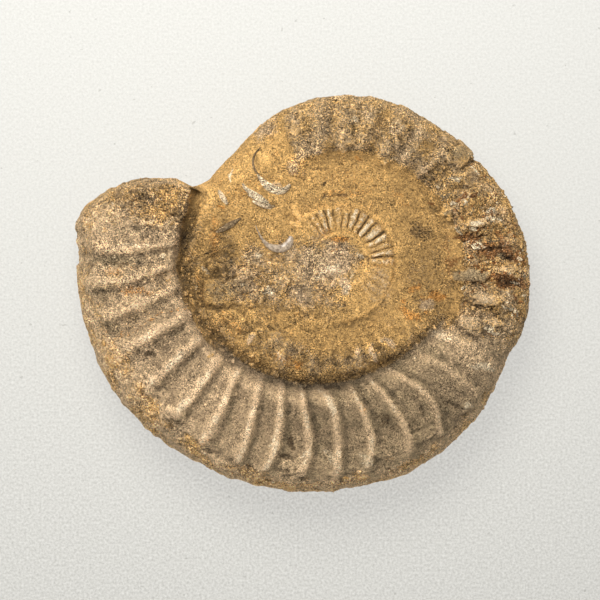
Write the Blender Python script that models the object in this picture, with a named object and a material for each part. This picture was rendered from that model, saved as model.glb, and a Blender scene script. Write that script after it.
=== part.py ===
"""An ammonite fossil in its matrix, lying on one flank: a single stone.

Metres, degrees, +Z up. The origin is on the surface that the stone lies on, under the middle of its box.

A bearing is a direction seen from the middle of the coil, counted from +X towards +Y. It runs on past 360,
so that it follows the outer whorl from its broken young end at 150 back to 510, where matrix covers it.
A ratio is a distance from the middle of the coil, as a share of the unworn spiral's radius there.
"""
import bpy
import numpy as np

MM = 0.001

# The spiral that the outer whorl's edge follows.
COIL_CENTRE = np.array((12.83, 10.97)) * MM  # from the middle of the stone's box
COIL_RADIUS = 112.4 * MM  # at a bearing of 180
QUARTER_GROWTH = 1.138  # how much wider the spiral is after a quarter turn
FIRST_BEARING = 150.0
TURN = 360.0

# The edge as it is now: shares of the spiral's radius. Past 150 it is broken straight across,
# and at 397 a sharp notch is chipped out of it.
EDGE_SOFTNESS = 0.8  # in degrees, over which corners of this list are rounded
WORN_EDGE = (
    (150, 0.66), (151, 0.70), (155, 0.808), (160, 0.893), (165, 0.968), (170, 1.008), (175, 0.987),
    (180, 0.989), (187, 1.006), (197, 1.008), (208, 1.021), (222, 1.013), (235, 0.995), (250, 0.995),
    (262, 0.991), (280, 0.991), (291, 1.005), (303, 0.996), (313, 0.984), (320, 0.986), (330, 0.961),
    (336, 0.968), (341, 0.993), (352, 1.002), (366, 0.998), (380, 0.991), (392, 0.975), (396, 0.972),
    (397, 0.944), (399, 0.972), (420, 0.974), (429, 0.994), (447, 0.999), (458, 0.993), (468, 0.980),
    (478, 0.950), (490, 0.924), (500, 0.936), (505, 0.952), (510, 1.0),
)

# Thickness of the stone on the flank of the outer whorl.
WHORL_THICKNESS = 47.5 * MM  # at a bearing of 180
THICKNESS_GROWTH = 1.08  # for each quarter turn
WIDEST_HEIGHT = 0.48  # the edge's height, as a share of the thickness
FLANK_FALL = 3.0 * MM  # how much the flank slopes down towards the edge
EDGE_ROUNDING = ((150, 9.0), (156, 14.0), (166, 15.0), (176, 18.0), (300, 18.0), (400, 15.0), (460, 13.0),
                 (480, 14.0), (503, 12.0), (510, 9.0))  # width in mm, seen from above

# The seam where the outer whorl meets the filling of the umbilicus, as a ratio.
SEAM = ((150, 0.60), (180, 0.575), (210, 0.55), (240, 0.525), (270, 0.51), (295, 0.51), (320, 0.55),
        (340, 0.60), (470, 0.60), (510, 0.60))
WALL_SHARE = ((150, 0.13), (200, 0.15), (250, 0.18), (300, 0.20), (340, 0.22), (400, 0.18), (460, 0.16),
              (510, 0.16))  # the umbilical wall, as a share of the whorl's height
SEAM_GROOVE, SEAM_GROOVE_WIDTH = 1.6 * MM, 0.06  # depth, and width as a share of the whorl's height
SEAM_GROOVE_WINDOW = (100.0, 150.0, 300.0, 330.0)  # bearings: matrix fills the groove past 330
MATRIX_START, MATRIX_BLEND = 461.0, 16.0  # bearings over which the older end goes under the matrix

# The filled umbilicus is a shallow dish that leans a little to the top and the right.
DISH_FLOOR, DISH_DEPTH, DISH_RADIUS = 28.6 * MM, 7.0 * MM, 38.0 * MM
DISH_LEAN = (-0.012, -0.04)

# Ribs of the outer whorl: bearing at the ratios 0.60, 0.77 and 0.92, and strength.
RIB_RATIOS = (0.60, 0.77, 0.92)
RIB_HEIGHT = 2.8 * MM
RIBS = (
    (157.0, 157.0, 157.0, 0.0), (164.0, 166.5, 167.0, 0.35), (170.0, 174.5, 175.0, 0.75),
    (178.7, 182.8, 183.5, 0.85), (186.3, 190.8, 192.0, 0.85), (198.0, 200.3, 202.0, 1.0),
    (208.0, 211.3, 213.0, 1.0), (219.3, 222.4, 222.5, 1.0), (228.0, 232.3, 233.5, 1.0),
    (239.3, 243.0, 244.3, 1.0), (249.0, 252.3, 251.5, 1.0), (258.0, 262.7, 261.5, 1.0),
    (270.7, 272.3, 271.3, 1.0), (281.0, 283.3, 279.5, 0.9), (291.5, 295.0, 293.0, 0.9),
    (303.0, 307.0, 302.5, 0.85), (317.0, 319.5, 319.0, 0.7), (331.0, 331.0, 329.0, 0.5),
    (341.0, 341.0, 341.0, 0.45), (349.0, 349.0, 349.0, 0.5), (358.5, 358.5, 358.5, 0.5),
    (368.0, 368.0, 368.0, 0.5), (377.7, 377.7, 377.7, 0.55), (386.0, 386.0, 386.0, 0.4),
    (396.0, 396.0, 396.0, 0.4), (406.5, 406.5, 406.5, 0.5), (416.0, 416.0, 416.0, 0.55),
    (425.7, 425.7, 425.7, 0.55), (436.7, 436.7, 436.7, 0.5), (446.0, 446.0, 446.0, 0.35),
    (456.0, 456.0, 456.0, 0.35), (466.0, 466.0, 466.0, 0.2), (475.0, 475.0, 475.0, 0.0),
)
RIB_REACH = (0.52, 0.98)  # ratios past which a rib no longer bends
EDGE_RIB_HEIGHT = 1.6 * MM  # where the ribs cross the edge
RIB_STEEP_SIDE = 0.34  # the share of the way to the next rib over which a rib falls away
RIB_RISE_POWER = 1.6  # how much steeper a rib rises just before its crest
RIB_ROUND_START, RIB_ROUND_END = 318.0, 340.0  # bearings between which the ribs become even, worn waves
RIB_FADE_START, RIB_FADE_WIDTH, RIB_ON_EDGE = 0.89, 0.07, 0.35  # towards the edge, in ratios

# The next whorl in, which shows as a low ridge from the left to the lower right.
RIDGE_HEIGHT = 3.4 * MM
RIDGE_INNER, RIDGE_INNER_WIDTH, RIDGE_OUTER_WIDTH = 0.26, 0.14, 0.07
RIDGE_WINDOW = (186.0, 215.0, 308.0, 345.0)  # bearings: it rises, is full, is full, is gone
RIDGE_RIB_HEIGHT, RIDGE_RIB_FIRST, RIDGE_RIB_SPACING = 0.4 * MM, 221.0, 9.3

# The small inner coil, a low disc whose ribs are parted by slits.
INNER_COIL_CENTRE = np.array((1.3, 0.9)) * MM  # from the middle of the coil
INNER_COIL_RADIUS, INNER_COIL_STEP, INNER_COIL_HEIGHT = 26.3 * MM, 2.2 * MM, 1.8 * MM
INNER_COIL_WINDOW = (255.0, 300.0, 480.0, 496.0)  # bearings over which its rim shows
SLIT_FIRST, SLIT_SPACING, SLIT_COUNT = 370.8, 8.4, 13
SLIT_DEPTH, SLIT_WIDTH = 1.1 * MM, 2.6
SLIT_LEAN, SLIT_LEAN_FROM = 30.0, 0.30  # degrees for a whole ratio, counted from this ratio
SLIT_RADII = np.array((14.5, 17.0, 25.0, 27.5)) * MM

# Lumps and hollows: x and y from the middle of the coil, half length, half width, turn and height,
# in mm and degrees.
LUMP_FALLOFF = 2.5
LUMPS = (
    (-16.3, 43.8, 4.5, 5.5, 0, 1.8), (-31.7, 31.1, 9.5, 3.0, -36, 1.6), (-26.0, 27.6, 3.5, 1.8, 0, -1.0),
    (-47.5, 30.2, 4.0, 2.0, -70, 1.0), (-44.8, 18.8, 6.6, 2.0, 27, 1.3), (-48.3, 2.6, 7.5, 4.5, 10, -1.3),
    (-41.0, -9.0, 9.0, 7.0, 30, 1.2), (61.4, -24.8, 6.0, 4.2, 0, 2.0), (73.0, 6.0, 6.0, 4.5, 80, -1.2),
    (60.3, -3.2, 9.0, 4.0, 0, 1.0), (55.9, 50.3, 7.0, 5.5, 42, 1.6), (68.9, 8.1, 4.0, 3.0, 0, -1.6),
    (80.0, -14.0, 5.0, 4.0, 70, -1.3), (79.5, 18.0, 5.0, 3.5, 60, -1.2), (11.0, 4.5, 4.0, 3.5, 0, 1.2),
    (18.0, 52.0, 8.0, 5.0, 10, -1.0), (2.0, 62.0, 7.0, 5.0, 80, 1.3), (62.0, 34.0, 8.0, 5.0, 35, 1.4),
    (42.0, 58.0, 7.0, 4.0, 50, -1.2), (-66.0, 36.0, 6.0, 5.0, 0, 1.3), (-86.0, 30.0, 8.0, 5.0, 20, -1.2),
    (-20.0, -3.0, 12.0, 8.0, 20, 0.8), (5.0, -13.0, 6.0, 3.0, -60, 0.9), (-52.0, -66.0, 7.0, 4.0, 40, 0.8),
)

# Rims of cemented bivalve shells: x and y of the arc's middle, radius, first and last angle, width
# and height, in mm and degrees. An arc tapers out towards both ends.
ARC_STEEPNESS, ARC_TAPER = 1.5, 40.0
SHELL_ARCS = (
    (-23.3, 15.3, 6.8, 185, 345, 3.4, 1.5), (-25.5, 43.8, 8.5, 110, 320, 2.6, 1.4),
)

# The rough stretches carry lumps of their own; the lower left is smooth.
ROUGH_WINDOW = (305.0, 345.0, 600.0, 610.0)
LUMP_CELL, LUMP_HEIGHT, SMOOTH_SHARE = 7.0 * MM, 1.1 * MM, 0.25
FINE_LUMP_CELL, FINE_LUMP_HEIGHT = 4.3 * MM, 0.35 * MM

# The side it lies on: worn ribs whose crests are rubbed flat, and a filled umbilicus.
UNDER_RUBBED, UNDER_RIB_HEIGHT, UNDER_LUMP_HEIGHT = 0.9 * MM, 2.2 * MM, 0.5 * MM
UNDER_DISH_DEPTH = 5.0 * MM
UNDER_ROUNDING = 15.0 * MM
ROUNDING_POWER = 2.2  # 2 would be an ellipse
FLAT_WITHIN = 0.08 * MM  # points this near to the ground lie on it

# Fineness of the surface before and after it is thinned out. Near the step in the edge, between 510
# and 150, the inner rings of the grid are evened out towards one radius.
EVEN_RADIUS, EVEN_SPREAD, EVEN_POWER = 76.0 * MM, 25.0, 4
TURN_START = 0.84  # the share of the radius from which the rings lie closer and closer
GRID_STEPS = 120
TRIANGLES = 9400
NOISE_LATTICE = 64

STONE = ("stone", (0.46, 0.36, 0.23, 1.0), 0.9, 0.0)  # name, colour, roughness, metallic


def along(bearing, table, column=1):
    """Reads a table of (bearing, value, ...) rows between its rows."""
    rows = np.array(table, dtype=float)
    return np.interp(bearing, rows[:, 0], rows[:, column])


def smooth_step(share):
    """Rises smoothly from 0 to 1 while the share goes from 0 to 1."""
    share = np.clip(share, 0.0, 1.0)
    return share * share * (3.0 - 2.0 * share)


def window(value, rise, full, still_full, gone):
    """One between full and still_full, and zero before rise and after gone."""
    return smooth_step((value - rise) / (full - rise)) * smooth_step((gone - value) / (gone - still_full))


def lattice_noise(x, y, cell, seed):
    """Smooth noise between -1 and 1 that changes over about one cell."""
    lattice = np.random.default_rng(seed).uniform(-1.0, 1.0, (NOISE_LATTICE, NOISE_LATTICE))
    column, row = np.floor(x / cell).astype(int), np.floor(y / cell).astype(int)
    across, up = smooth_step(x / cell - column), smooth_step(y / cell - row)

    def corner(right, above):
        return lattice[(column + right) % NOISE_LATTICE, (row + above) % NOISE_LATTICE]

    low = corner(0, 0) * (1 - across) + corner(1, 0) * across
    high = corner(0, 1) * (1 - across) + corner(1, 1) * across
    return low * (1 - up) + high * up


def spiral_radius(bearing):
    """Radius of the unworn spiral."""
    return COIL_RADIUS * QUARTER_GROWTH ** ((180.0 - bearing) / 90.0)


def edge_radius(bearing):
    """Radius of the stone's edge."""
    before, after = along(bearing - EDGE_SOFTNESS, WORN_EDGE), along(bearing + EDGE_SOFTNESS, WORN_EDGE)
    ribs = EDGE_RIB_HEIGHT * (rib_relief(bearing, 1.0) - 0.5 * RIB_ON_EDGE)
    return spiral_radius(bearing) * (before + after) / 2.0 + ribs


def whorl_thickness(bearing):
    """Height of the outer whorl's upper flank."""
    return WHORL_THICKNESS * THICKNESS_GROWTH ** ((180.0 - bearing) / 90.0)


def rib_relief(bearing, ratio):
    """Saw-toothed ribs, 0 in the valleys and up to 1 on the crests."""
    ribs = np.array(RIBS)
    inner_lean = np.interp(bearing, ribs[:, 1], ribs[:, 0] - ribs[:, 1])
    outer_lean = np.interp(bearing, ribs[:, 1], ribs[:, 2] - ribs[:, 1])
    inner, middle, outer = RIB_RATIOS
    reach = np.clip(ratio, *RIB_REACH)
    bend_in = (reach - middle) * (reach - outer) / ((inner - middle) * (inner - outer))
    bend_out = (reach - middle) * (reach - inner) / ((outer - middle) * (outer - inner))
    straightened = bearing - inner_lean * bend_in - outer_lean * bend_out
    place = np.interp(straightened, ribs[:, 1], np.arange(len(ribs)))
    past_crest = place - np.floor(place)
    falling = 1.0 - smooth_step(past_crest / RIB_STEEP_SIDE)
    uphill = np.clip((past_crest - RIB_STEEP_SIDE) / (1.0 - RIB_STEEP_SIDE), 0.0, 1.0)
    rising = smooth_step(uphill ** RIB_RISE_POWER)
    toothed = np.maximum(falling, rising)
    wavy = 0.5 + 0.5 * np.cos(past_crest * 2.0 * np.pi)
    worn = smooth_step((bearing - RIB_ROUND_START) / (RIB_ROUND_END - RIB_ROUND_START))
    strength = np.interp(straightened, ribs[:, 1], ribs[:, 3])
    fade = 1.0 - (1.0 - RIB_ON_EDGE) * smooth_step((ratio - RIB_FADE_START) / RIB_FADE_WIDTH)
    return (toothed + (wavy - toothed) * worn) * strength * fade


def dish_height(x, y, radius):
    """The filling of the umbilicus."""
    dish = DISH_FLOOR + DISH_DEPTH * (1.0 - np.exp(-(radius / DISH_RADIUS) ** 2))
    return dish + DISH_LEAN[0] * x + DISH_LEAN[1] * y


def ridge_relief(bearing, ratio):
    """The next whorl in, with its low ribs."""
    shown = window(bearing, *RIDGE_WINDOW)
    inner_side = smooth_step((ratio - RIDGE_INNER) / RIDGE_INNER_WIDTH)
    outer_side = smooth_step((along(bearing, SEAM) - ratio) / RIDGE_OUTER_WIDTH)
    wave = np.cos((bearing - RIDGE_RIB_FIRST) / RIDGE_RIB_SPACING * 2.0 * np.pi)
    return (RIDGE_HEIGHT + RIDGE_RIB_HEIGHT * wave * inner_side) * inner_side * outer_side * shown


def inner_coil_relief(x, y, bearing, radius):
    """The inner coil's disc, less the slits between its ribs."""
    from_centre = np.hypot(x - INNER_COIL_CENTRE[0], y - INNER_COIL_CENTRE[1])
    outside = smooth_step((from_centre - INNER_COIL_RADIUS) / INNER_COIL_STEP + 1.0)
    step = INNER_COIL_HEIGHT * (1.0 - outside * window(bearing, *INNER_COIL_WINDOW))
    leaning = bearing + SLIT_LEAN * (radius / spiral_radius(bearing) - SLIT_LEAN_FROM)
    slits = np.zeros_like(x)
    for number in range(SLIT_COUNT):
        middle = SLIT_FIRST + SLIT_SPACING * number
        slits = np.maximum(slits, 1.0 - np.abs(leaning - middle) / SLIT_WIDTH)
    return step - SLIT_DEPTH * smooth_step(slits) * window(radius, *SLIT_RADII)


def lumps_relief(x, y):
    """Single lumps and hollows, and the rims of cemented shells."""
    relief = np.zeros_like(x)
    for lump_x, lump_y, half_length, half_width, turn, height in LUMPS:
        cosine, sine = np.cos(np.radians(turn)), np.sin(np.radians(turn))
        east, north = x / MM - lump_x, y / MM - lump_y
        apart = np.hypot((east * cosine + north * sine) / half_length,
                         (north * cosine - east * sine) / half_width)
        relief += height * MM * np.exp(-LUMP_FALLOFF * apart ** 2)
    for arc_x, arc_y, arc_radius, first, last, width, height in SHELL_ARCS:
        east, north = x / MM - arc_x, y / MM - arc_y
        angle = np.degrees(np.arctan2(north, east)) % TURN
        across = np.abs(np.hypot(east, north) - arc_radius) / (width / 2.0)
        tapered = window(angle, first, first + ARC_TAPER, last - ARC_TAPER, last)
        relief += height * MM * smooth_step(ARC_STEEPNESS * (1.0 - across)) * tapered
    return relief


def place_on_whorl(bearing, ratio):
    """How far up the outer whorl a point is, 0 at the seam and 1 at the edge, and the whorl's share there."""
    seam = along(bearing, SEAM)
    up_the_whorl = (ratio - seam) / (1.0 - seam)
    shell_shown = 1.0 - smooth_step((bearing - MATRIX_START) / MATRIX_BLEND)
    return up_the_whorl, smooth_step(up_the_whorl / along(bearing, WALL_SHARE)) * shell_shown


def upper_surface(bearing, radius):
    """Height of the upper side."""
    x, y = radius * np.cos(np.radians(bearing)), radius * np.sin(np.radians(bearing))
    ratio = radius / spiral_radius(bearing)
    up_the_whorl, whorl = place_on_whorl(bearing, ratio)
    dish = dish_height(x, y, radius)
    flank = whorl_thickness(bearing) - FLANK_FALL * np.clip(up_the_whorl, 0.0, 1.0) ** 2
    height = dish + (flank - dish) * whorl
    groove = np.exp(-(up_the_whorl / SEAM_GROOVE_WIDTH) ** 2)
    height -= SEAM_GROOVE * groove * window(bearing, *SEAM_GROOVE_WINDOW)
    height += RIB_HEIGHT * (rib_relief(bearing, ratio) - 0.5) * whorl
    height += ridge_relief(bearing, ratio)
    height += inner_coil_relief(x, y, bearing, radius)
    height += lumps_relief(x, y)
    rough = SMOOTH_SHARE + (1.0 - SMOOTH_SHARE) * window(bearing, *ROUGH_WINDOW)
    height += LUMP_HEIGHT * rough * whorl * lattice_noise(x, y, LUMP_CELL, seed=3)
    height += FINE_LUMP_HEIGHT * lattice_noise(x, y, FINE_LUMP_CELL, seed=4)
    return rounded_off(bearing, radius, height, along(bearing, EDGE_ROUNDING) * MM)


def lower_surface(bearing, radius):
    """Height of the side it lies on. What would reach below the ground has been rubbed off."""
    x, y = radius * np.cos(np.radians(bearing)), radius * np.sin(np.radians(bearing))
    ratio = radius / spiral_radius(bearing)
    up_the_whorl, whorl = place_on_whorl(bearing, ratio)
    flank = FLANK_FALL * np.clip(up_the_whorl, 0.0, 1.0) ** 2 - UNDER_RUBBED
    flank += UNDER_RIB_HEIGHT * (0.5 - rib_relief(bearing, ratio))
    height = UNDER_DISH_DEPTH + (flank - UNDER_DISH_DEPTH) * whorl
    height += UNDER_LUMP_HEIGHT * lattice_noise(x, y, LUMP_CELL, seed=5)
    return rounded_off(bearing, radius, np.maximum(height, 0.0), UNDER_ROUNDING)


def rounded_off(bearing, radius, height, rounding):
    """Bends a side round to the edge's own height over the last stretch before the edge."""
    middle = WIDEST_HEIGHT * whorl_thickness(bearing)
    outward = np.clip(1.0 - (edge_radius(bearing) - radius) / rounding, 0.0, 1.0)
    return middle + (height - middle) * np.sqrt(np.maximum(1.0 - outward ** ROUNDING_POWER, 0.0))


def ring_point(step_x, step_y):
    """Ring and bearing of a grid point: ring k is a square of 8k points, spread evenly round the coil."""
    ring = max(abs(step_x), abs(step_y))
    if ring == 0:
        return 0, FIRST_BEARING
    if step_y == -ring and step_x < ring:
        place = step_x + ring
    elif step_x == ring and step_y < ring:
        place = 2 * ring + step_y + ring
    elif step_y == ring and step_x > -ring:
        place = 4 * ring + ring - step_x
    else:
        place = 6 * ring + ring - step_y
    return ring, FIRST_BEARING + TURN * (place + 0.5) / (8 * ring)


def edge_crowded(share):
    """Spaces the rings evenly, and closer and closer where the surface turns down at the edge."""
    turn_width = 1.0 - TURN_START
    share = share * (TURN_START + turn_width * np.pi / 2.0)
    turning = np.sin(np.clip((share - TURN_START) / turn_width, 0.0, np.pi / 2.0))
    return np.where(share < TURN_START, share, TURN_START + turn_width * turning)


def ring_radius(bearing, share):
    """Radius of a grid ring: a share of the edge's, evened out near the step in the edge."""
    edge = edge_radius(bearing)
    from_step = np.minimum(bearing - FIRST_BEARING, FIRST_BEARING + TURN - bearing)
    evened = edge + (EVEN_RADIUS - edge) * np.exp(-(from_step / EVEN_SPREAD) ** 2)
    return share * (evened + (edge - evened) * share ** EVEN_POWER)


def side_points(surface):
    """All grid points of one side, as x, y, z rows."""
    steps = range(-GRID_STEPS, GRID_STEPS + 1)
    rings, bearings = np.array([ring_point(i, j) for i in steps for j in steps], dtype=float).T
    radius = ring_radius(bearings, edge_crowded(rings / GRID_STEPS))
    x = COIL_CENTRE[0] + radius * np.cos(np.radians(bearings))
    y = COIL_CENTRE[1] + radius * np.sin(np.radians(bearings))
    return np.stack((x, y, surface(bearings, radius)), axis=1)


def stone_mesh():
    """The closed surface: an upper and a lower side that share their edge."""
    across = 2 * GRID_STEPS + 1
    upper, lower = side_points(upper_surface), side_points(lower_surface)
    upper_index = np.arange(across * across).reshape(across, across)
    on_edge = np.ones((across, across), dtype=bool)
    on_edge[1:-1, 1:-1] = False
    lower_index = np.where(on_edge, upper_index, 0)
    lower_index[~on_edge] = across * across + np.arange((across - 2) ** 2)
    points = np.concatenate((upper, lower[~on_edge.ravel()]))
    faces = []
    for i in range(across - 1):
        for j in range(across - 1):
            corners = ((i, j), (i + 1, j), (i + 1, j + 1), (i, j + 1))
            faces.append([upper_index[corner] for corner in corners])
            faces.append([lower_index[corner] for corner in reversed(corners)])
    mesh = bpy.data.meshes.new("ammonite_fossil")
    mesh.from_pydata(points.tolist(), [], np.array(faces).tolist())
    return mesh


def stone_material():
    """Weathered limestone."""
    name, colour, roughness, metallic = STONE
    material = bpy.data.materials.new(name)
    material.use_nodes = True
    shader = material.node_tree.nodes["Principled BSDF"]
    shader.inputs["Base Color"].default_value = colour
    shader.inputs["Roughness"].default_value = roughness
    shader.inputs["Metallic"].default_value = metallic
    return material


def rub_flat(mesh):
    """Puts the points of the resting spots exactly on the ground."""
    for vertex in mesh.vertices:
        if abs(vertex.co.z) < FLAT_WITHIN:
            vertex.co.z = 0.0


def build():
    """Makes the stone: the fine surface, thinned out and rubbed flat where it rests."""
    for old in list(bpy.data.objects):
        bpy.data.objects.remove(old)
    fossil = bpy.data.objects.new("ammonite_fossil", stone_mesh())
    bpy.context.scene.collection.objects.link(fossil)
    thinned = fossil.modifiers.new("thinned", "DECIMATE")
    thinned.ratio = TRIANGLES / (4 * (2 * GRID_STEPS) ** 2)
    evaluated = fossil.evaluated_get(bpy.context.evaluated_depsgraph_get())
    fossil.data = bpy.data.meshes.new_from_object(evaluated)
    fossil.modifiers.clear()
    rub_flat(fossil.data)
    fossil.data.shade_smooth()
    fossil.data.materials.append(stone_material())


build()
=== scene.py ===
"""An ammonite fossil in its matrix, lying on one flank on a pale plastered table.

Metres, degrees, +Z up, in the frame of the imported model. A bearing is a direction seen from the middle of
the coil, counted from +X towards +Y. It runs on past 360, so that it follows the outer whorl from its broken
young end at 150 back to 510, where matrix covers it. A ratio is a distance from the middle of the coil, as
a share of the unworn spiral's radius there.
"""

import logging
from dataclasses import dataclass
from enum import Enum
from itertools import product

import bpy
import numpy as np
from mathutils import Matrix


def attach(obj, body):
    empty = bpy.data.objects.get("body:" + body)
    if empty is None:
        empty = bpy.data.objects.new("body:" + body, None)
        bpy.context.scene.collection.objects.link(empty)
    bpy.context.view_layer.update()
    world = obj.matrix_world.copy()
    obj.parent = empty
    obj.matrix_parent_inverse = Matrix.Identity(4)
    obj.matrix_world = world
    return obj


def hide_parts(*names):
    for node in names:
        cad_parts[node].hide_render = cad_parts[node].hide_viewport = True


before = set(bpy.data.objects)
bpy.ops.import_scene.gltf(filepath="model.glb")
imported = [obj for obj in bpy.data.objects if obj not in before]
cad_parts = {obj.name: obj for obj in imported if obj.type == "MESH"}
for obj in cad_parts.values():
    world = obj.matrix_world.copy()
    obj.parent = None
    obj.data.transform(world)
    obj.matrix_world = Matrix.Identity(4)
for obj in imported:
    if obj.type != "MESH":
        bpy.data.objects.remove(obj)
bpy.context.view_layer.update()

MM = 0.001
TURN = 360
NODE = "ammonite_fossil"
UV_MAP = "OFBake"

log = logging.getLogger("ammonite")

Array = np.ndarray
Socket = bpy.types.NodeSocket
Pair = tuple[float, float]
Triple = tuple[float, float, float]
Rows = tuple[tuple[float, ...], ...]
Window = tuple[float, float, float, float]  # where it begins to rise, is full, is still full, and is gone
Colour = tuple[float, ...]


class Tint(Enum):
    """What gives a patch of the stone its colour."""

    OCHRE = "ochre"
    GREY = "grey"
    PINK = "pink"
    RUST = "rust"
    ORANGE = "orange"
    PALE = "pale"
    # DARK also carries painted shadow and shade: along slab edges, at the foot of the left-hand wall, on the side past
    # each shell rib's crest (mixed with dirt), and in the small ribs' grooves.
    DARK = "dark"


Shares = dict[Tint | str, Array]  # a share for each point of a mesh, which its material reads
Surface = dict[str, Array | Shares]


def along(bearing: Array, table: Rows, column: int = 1) -> Array:
    """Reads a table of (bearing, value, ...) rows between its rows."""
    rows = np.array(table, dtype=float)
    return np.interp(bearing, rows[:, 0], rows[:, column])


def smooth_step(share: Array) -> Array:
    """Rises smoothly from 0 to 1 while the share goes from 0 to 1."""
    share = np.clip(share, 0, 1)
    return share * share * (3 - 2 * share)


def window(value: Array, rise: float, full: float, still_full: float, gone: float) -> Array:
    """One between full and still_full, and zero before rise and after gone."""
    return smooth_step((value - rise) / (full - rise)) * smooth_step((gone - value) / (gone - still_full))


def blend(one: Array | float, other: Array | float, share: Array) -> Array:
    """Goes from one value to the other while the share goes from 0 to 1."""
    return one + (other - one) * share


def from_polar(bearing: Array, radius: Array) -> tuple[Array, Array]:
    """Turns a bearing and a distance into x and y."""
    return radius * np.cos(np.radians(bearing)), radius * np.sin(np.radians(bearing))


def unit(vectors: Array) -> Array:
    """Brings each row to a length of 1."""
    return vectors / np.linalg.norm(vectors, axis=1, keepdims=True)


def linear(*parts: float) -> Colour:
    """Turns a screen colour, 0 to 255, into the linear colour with an alpha of 1 that a shader takes."""
    return (*(((part / 255 + 0.055) / 1.055) ** 2.4 for part in parts), 1)


def linked(name: str, data: bpy.types.ID) -> bpy.types.Object:
    """Puts a mesh, a lamp or a camera into the scene."""
    made = bpy.data.objects.new(name, data)
    bpy.context.scene.collection.objects.link(made)
    return made


def meshed(name: str, points: Array, faces: list, shares: Shares, smooth: bool = True) -> bpy.types.Object:
    """Makes a piece and puts it into the scene.

    Args:
        name: the piece's name.
        points: rows of x, y and z.
        faces: rows of point numbers.
        shares: the shares to keep on it.
        smooth: whether its shading is smooth.

    Returns:
        The piece.
    """
    mesh = bpy.data.meshes.new(name)
    mesh.from_pydata(points.tolist(), [], faces)
    if smooth:
        mesh.shade_smooth()
    for label, values in shares.items():
        layer = mesh.attributes.new(label.value if isinstance(label, Tint) else label, "FLOAT", "POINT")
        layer.data.foreach_set("value", np.clip(values, 0, 1).astype(np.float32))
    return linked(name, mesh)


@dataclass(frozen=True)
class Noise:
    """Smooth noise in space, the same on every run."""

    cell: float
    seed: int
    octaves: int = 1
    kept: float = 0.5  # the share of its strength that each finer octave keeps
    level: float = 0  # of a mask, before the noise
    gain: float = 1  # of the noise in a mask
    loudness: float = 1.6  # brings one octave to about -1 to 1
    shifted: float = 90  # how far, in cells, an octave may be shifted

    def at(self, points: Array) -> Array:
        """Reads the noise, between about -1 and 1, at rows of x, y and z.

        Args:
            points: the rows.

        Returns:
            A value for each row.
        """
        total, strength, whole = 0, 1, 0
        for octave in range(self.octaves):
            random = np.random.default_rng((self.seed, octave))
            total = total + strength * self.one_octave(points / self.cell * 2 ** octave, random)
            whole += strength ** 2
            strength *= self.kept
        return total * self.loudness / np.sqrt(whole)

    def mask(self, points: Array) -> Array:
        """The noise as a mask, from 0 to 1."""
        return smooth_step(self.level + self.gain * self.at(points))

    def one_octave(self, places: Array, random: np.random.Generator) -> Array:
        """Gradient noise on a unit lattice that is turned and shifted at random.

        Args:
            places: rows of x, y and z, in cells.
            random: where the lattice's numbers come from.

        Returns:
            The noise at each row.
        """
        turned, _ = np.linalg.qr(random.normal(size=(3, 3)))
        places = places @ turned + random.uniform(0, self.shifted, 3)
        order = np.tile(random.permutation(256), 2)
        slopes = unit(random.normal(size=(256, 3)))
        cells = np.floor(places).astype(int)
        parts = places - cells
        eased = parts ** 3 * (parts * (parts * 6 - 15) + 10)
        total = np.zeros(len(places))
        for corner in product((0, 1), repeat=3):
            at = (cells + corner) & 255
            pick = order[order[order[at[:, 0]] + at[:, 1]] + at[:, 2]]
            near = np.prod(np.where(corner, eased, 1 - eased), axis=1)
            total += near * np.einsum("ij,ij->i", slopes[pick], parts - corner)
        return total


@dataclass(frozen=True)
class Nearest:
    """What lies nearest to each point in a scatter of one seed point a cell."""

    distance: Array  # to the nearest seed point, in cells
    second: Array  # to the next one
    offset: Array  # rows from the nearest seed point, in cells
    pick: Array  # the nearest one's own number, 0 to 255


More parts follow.
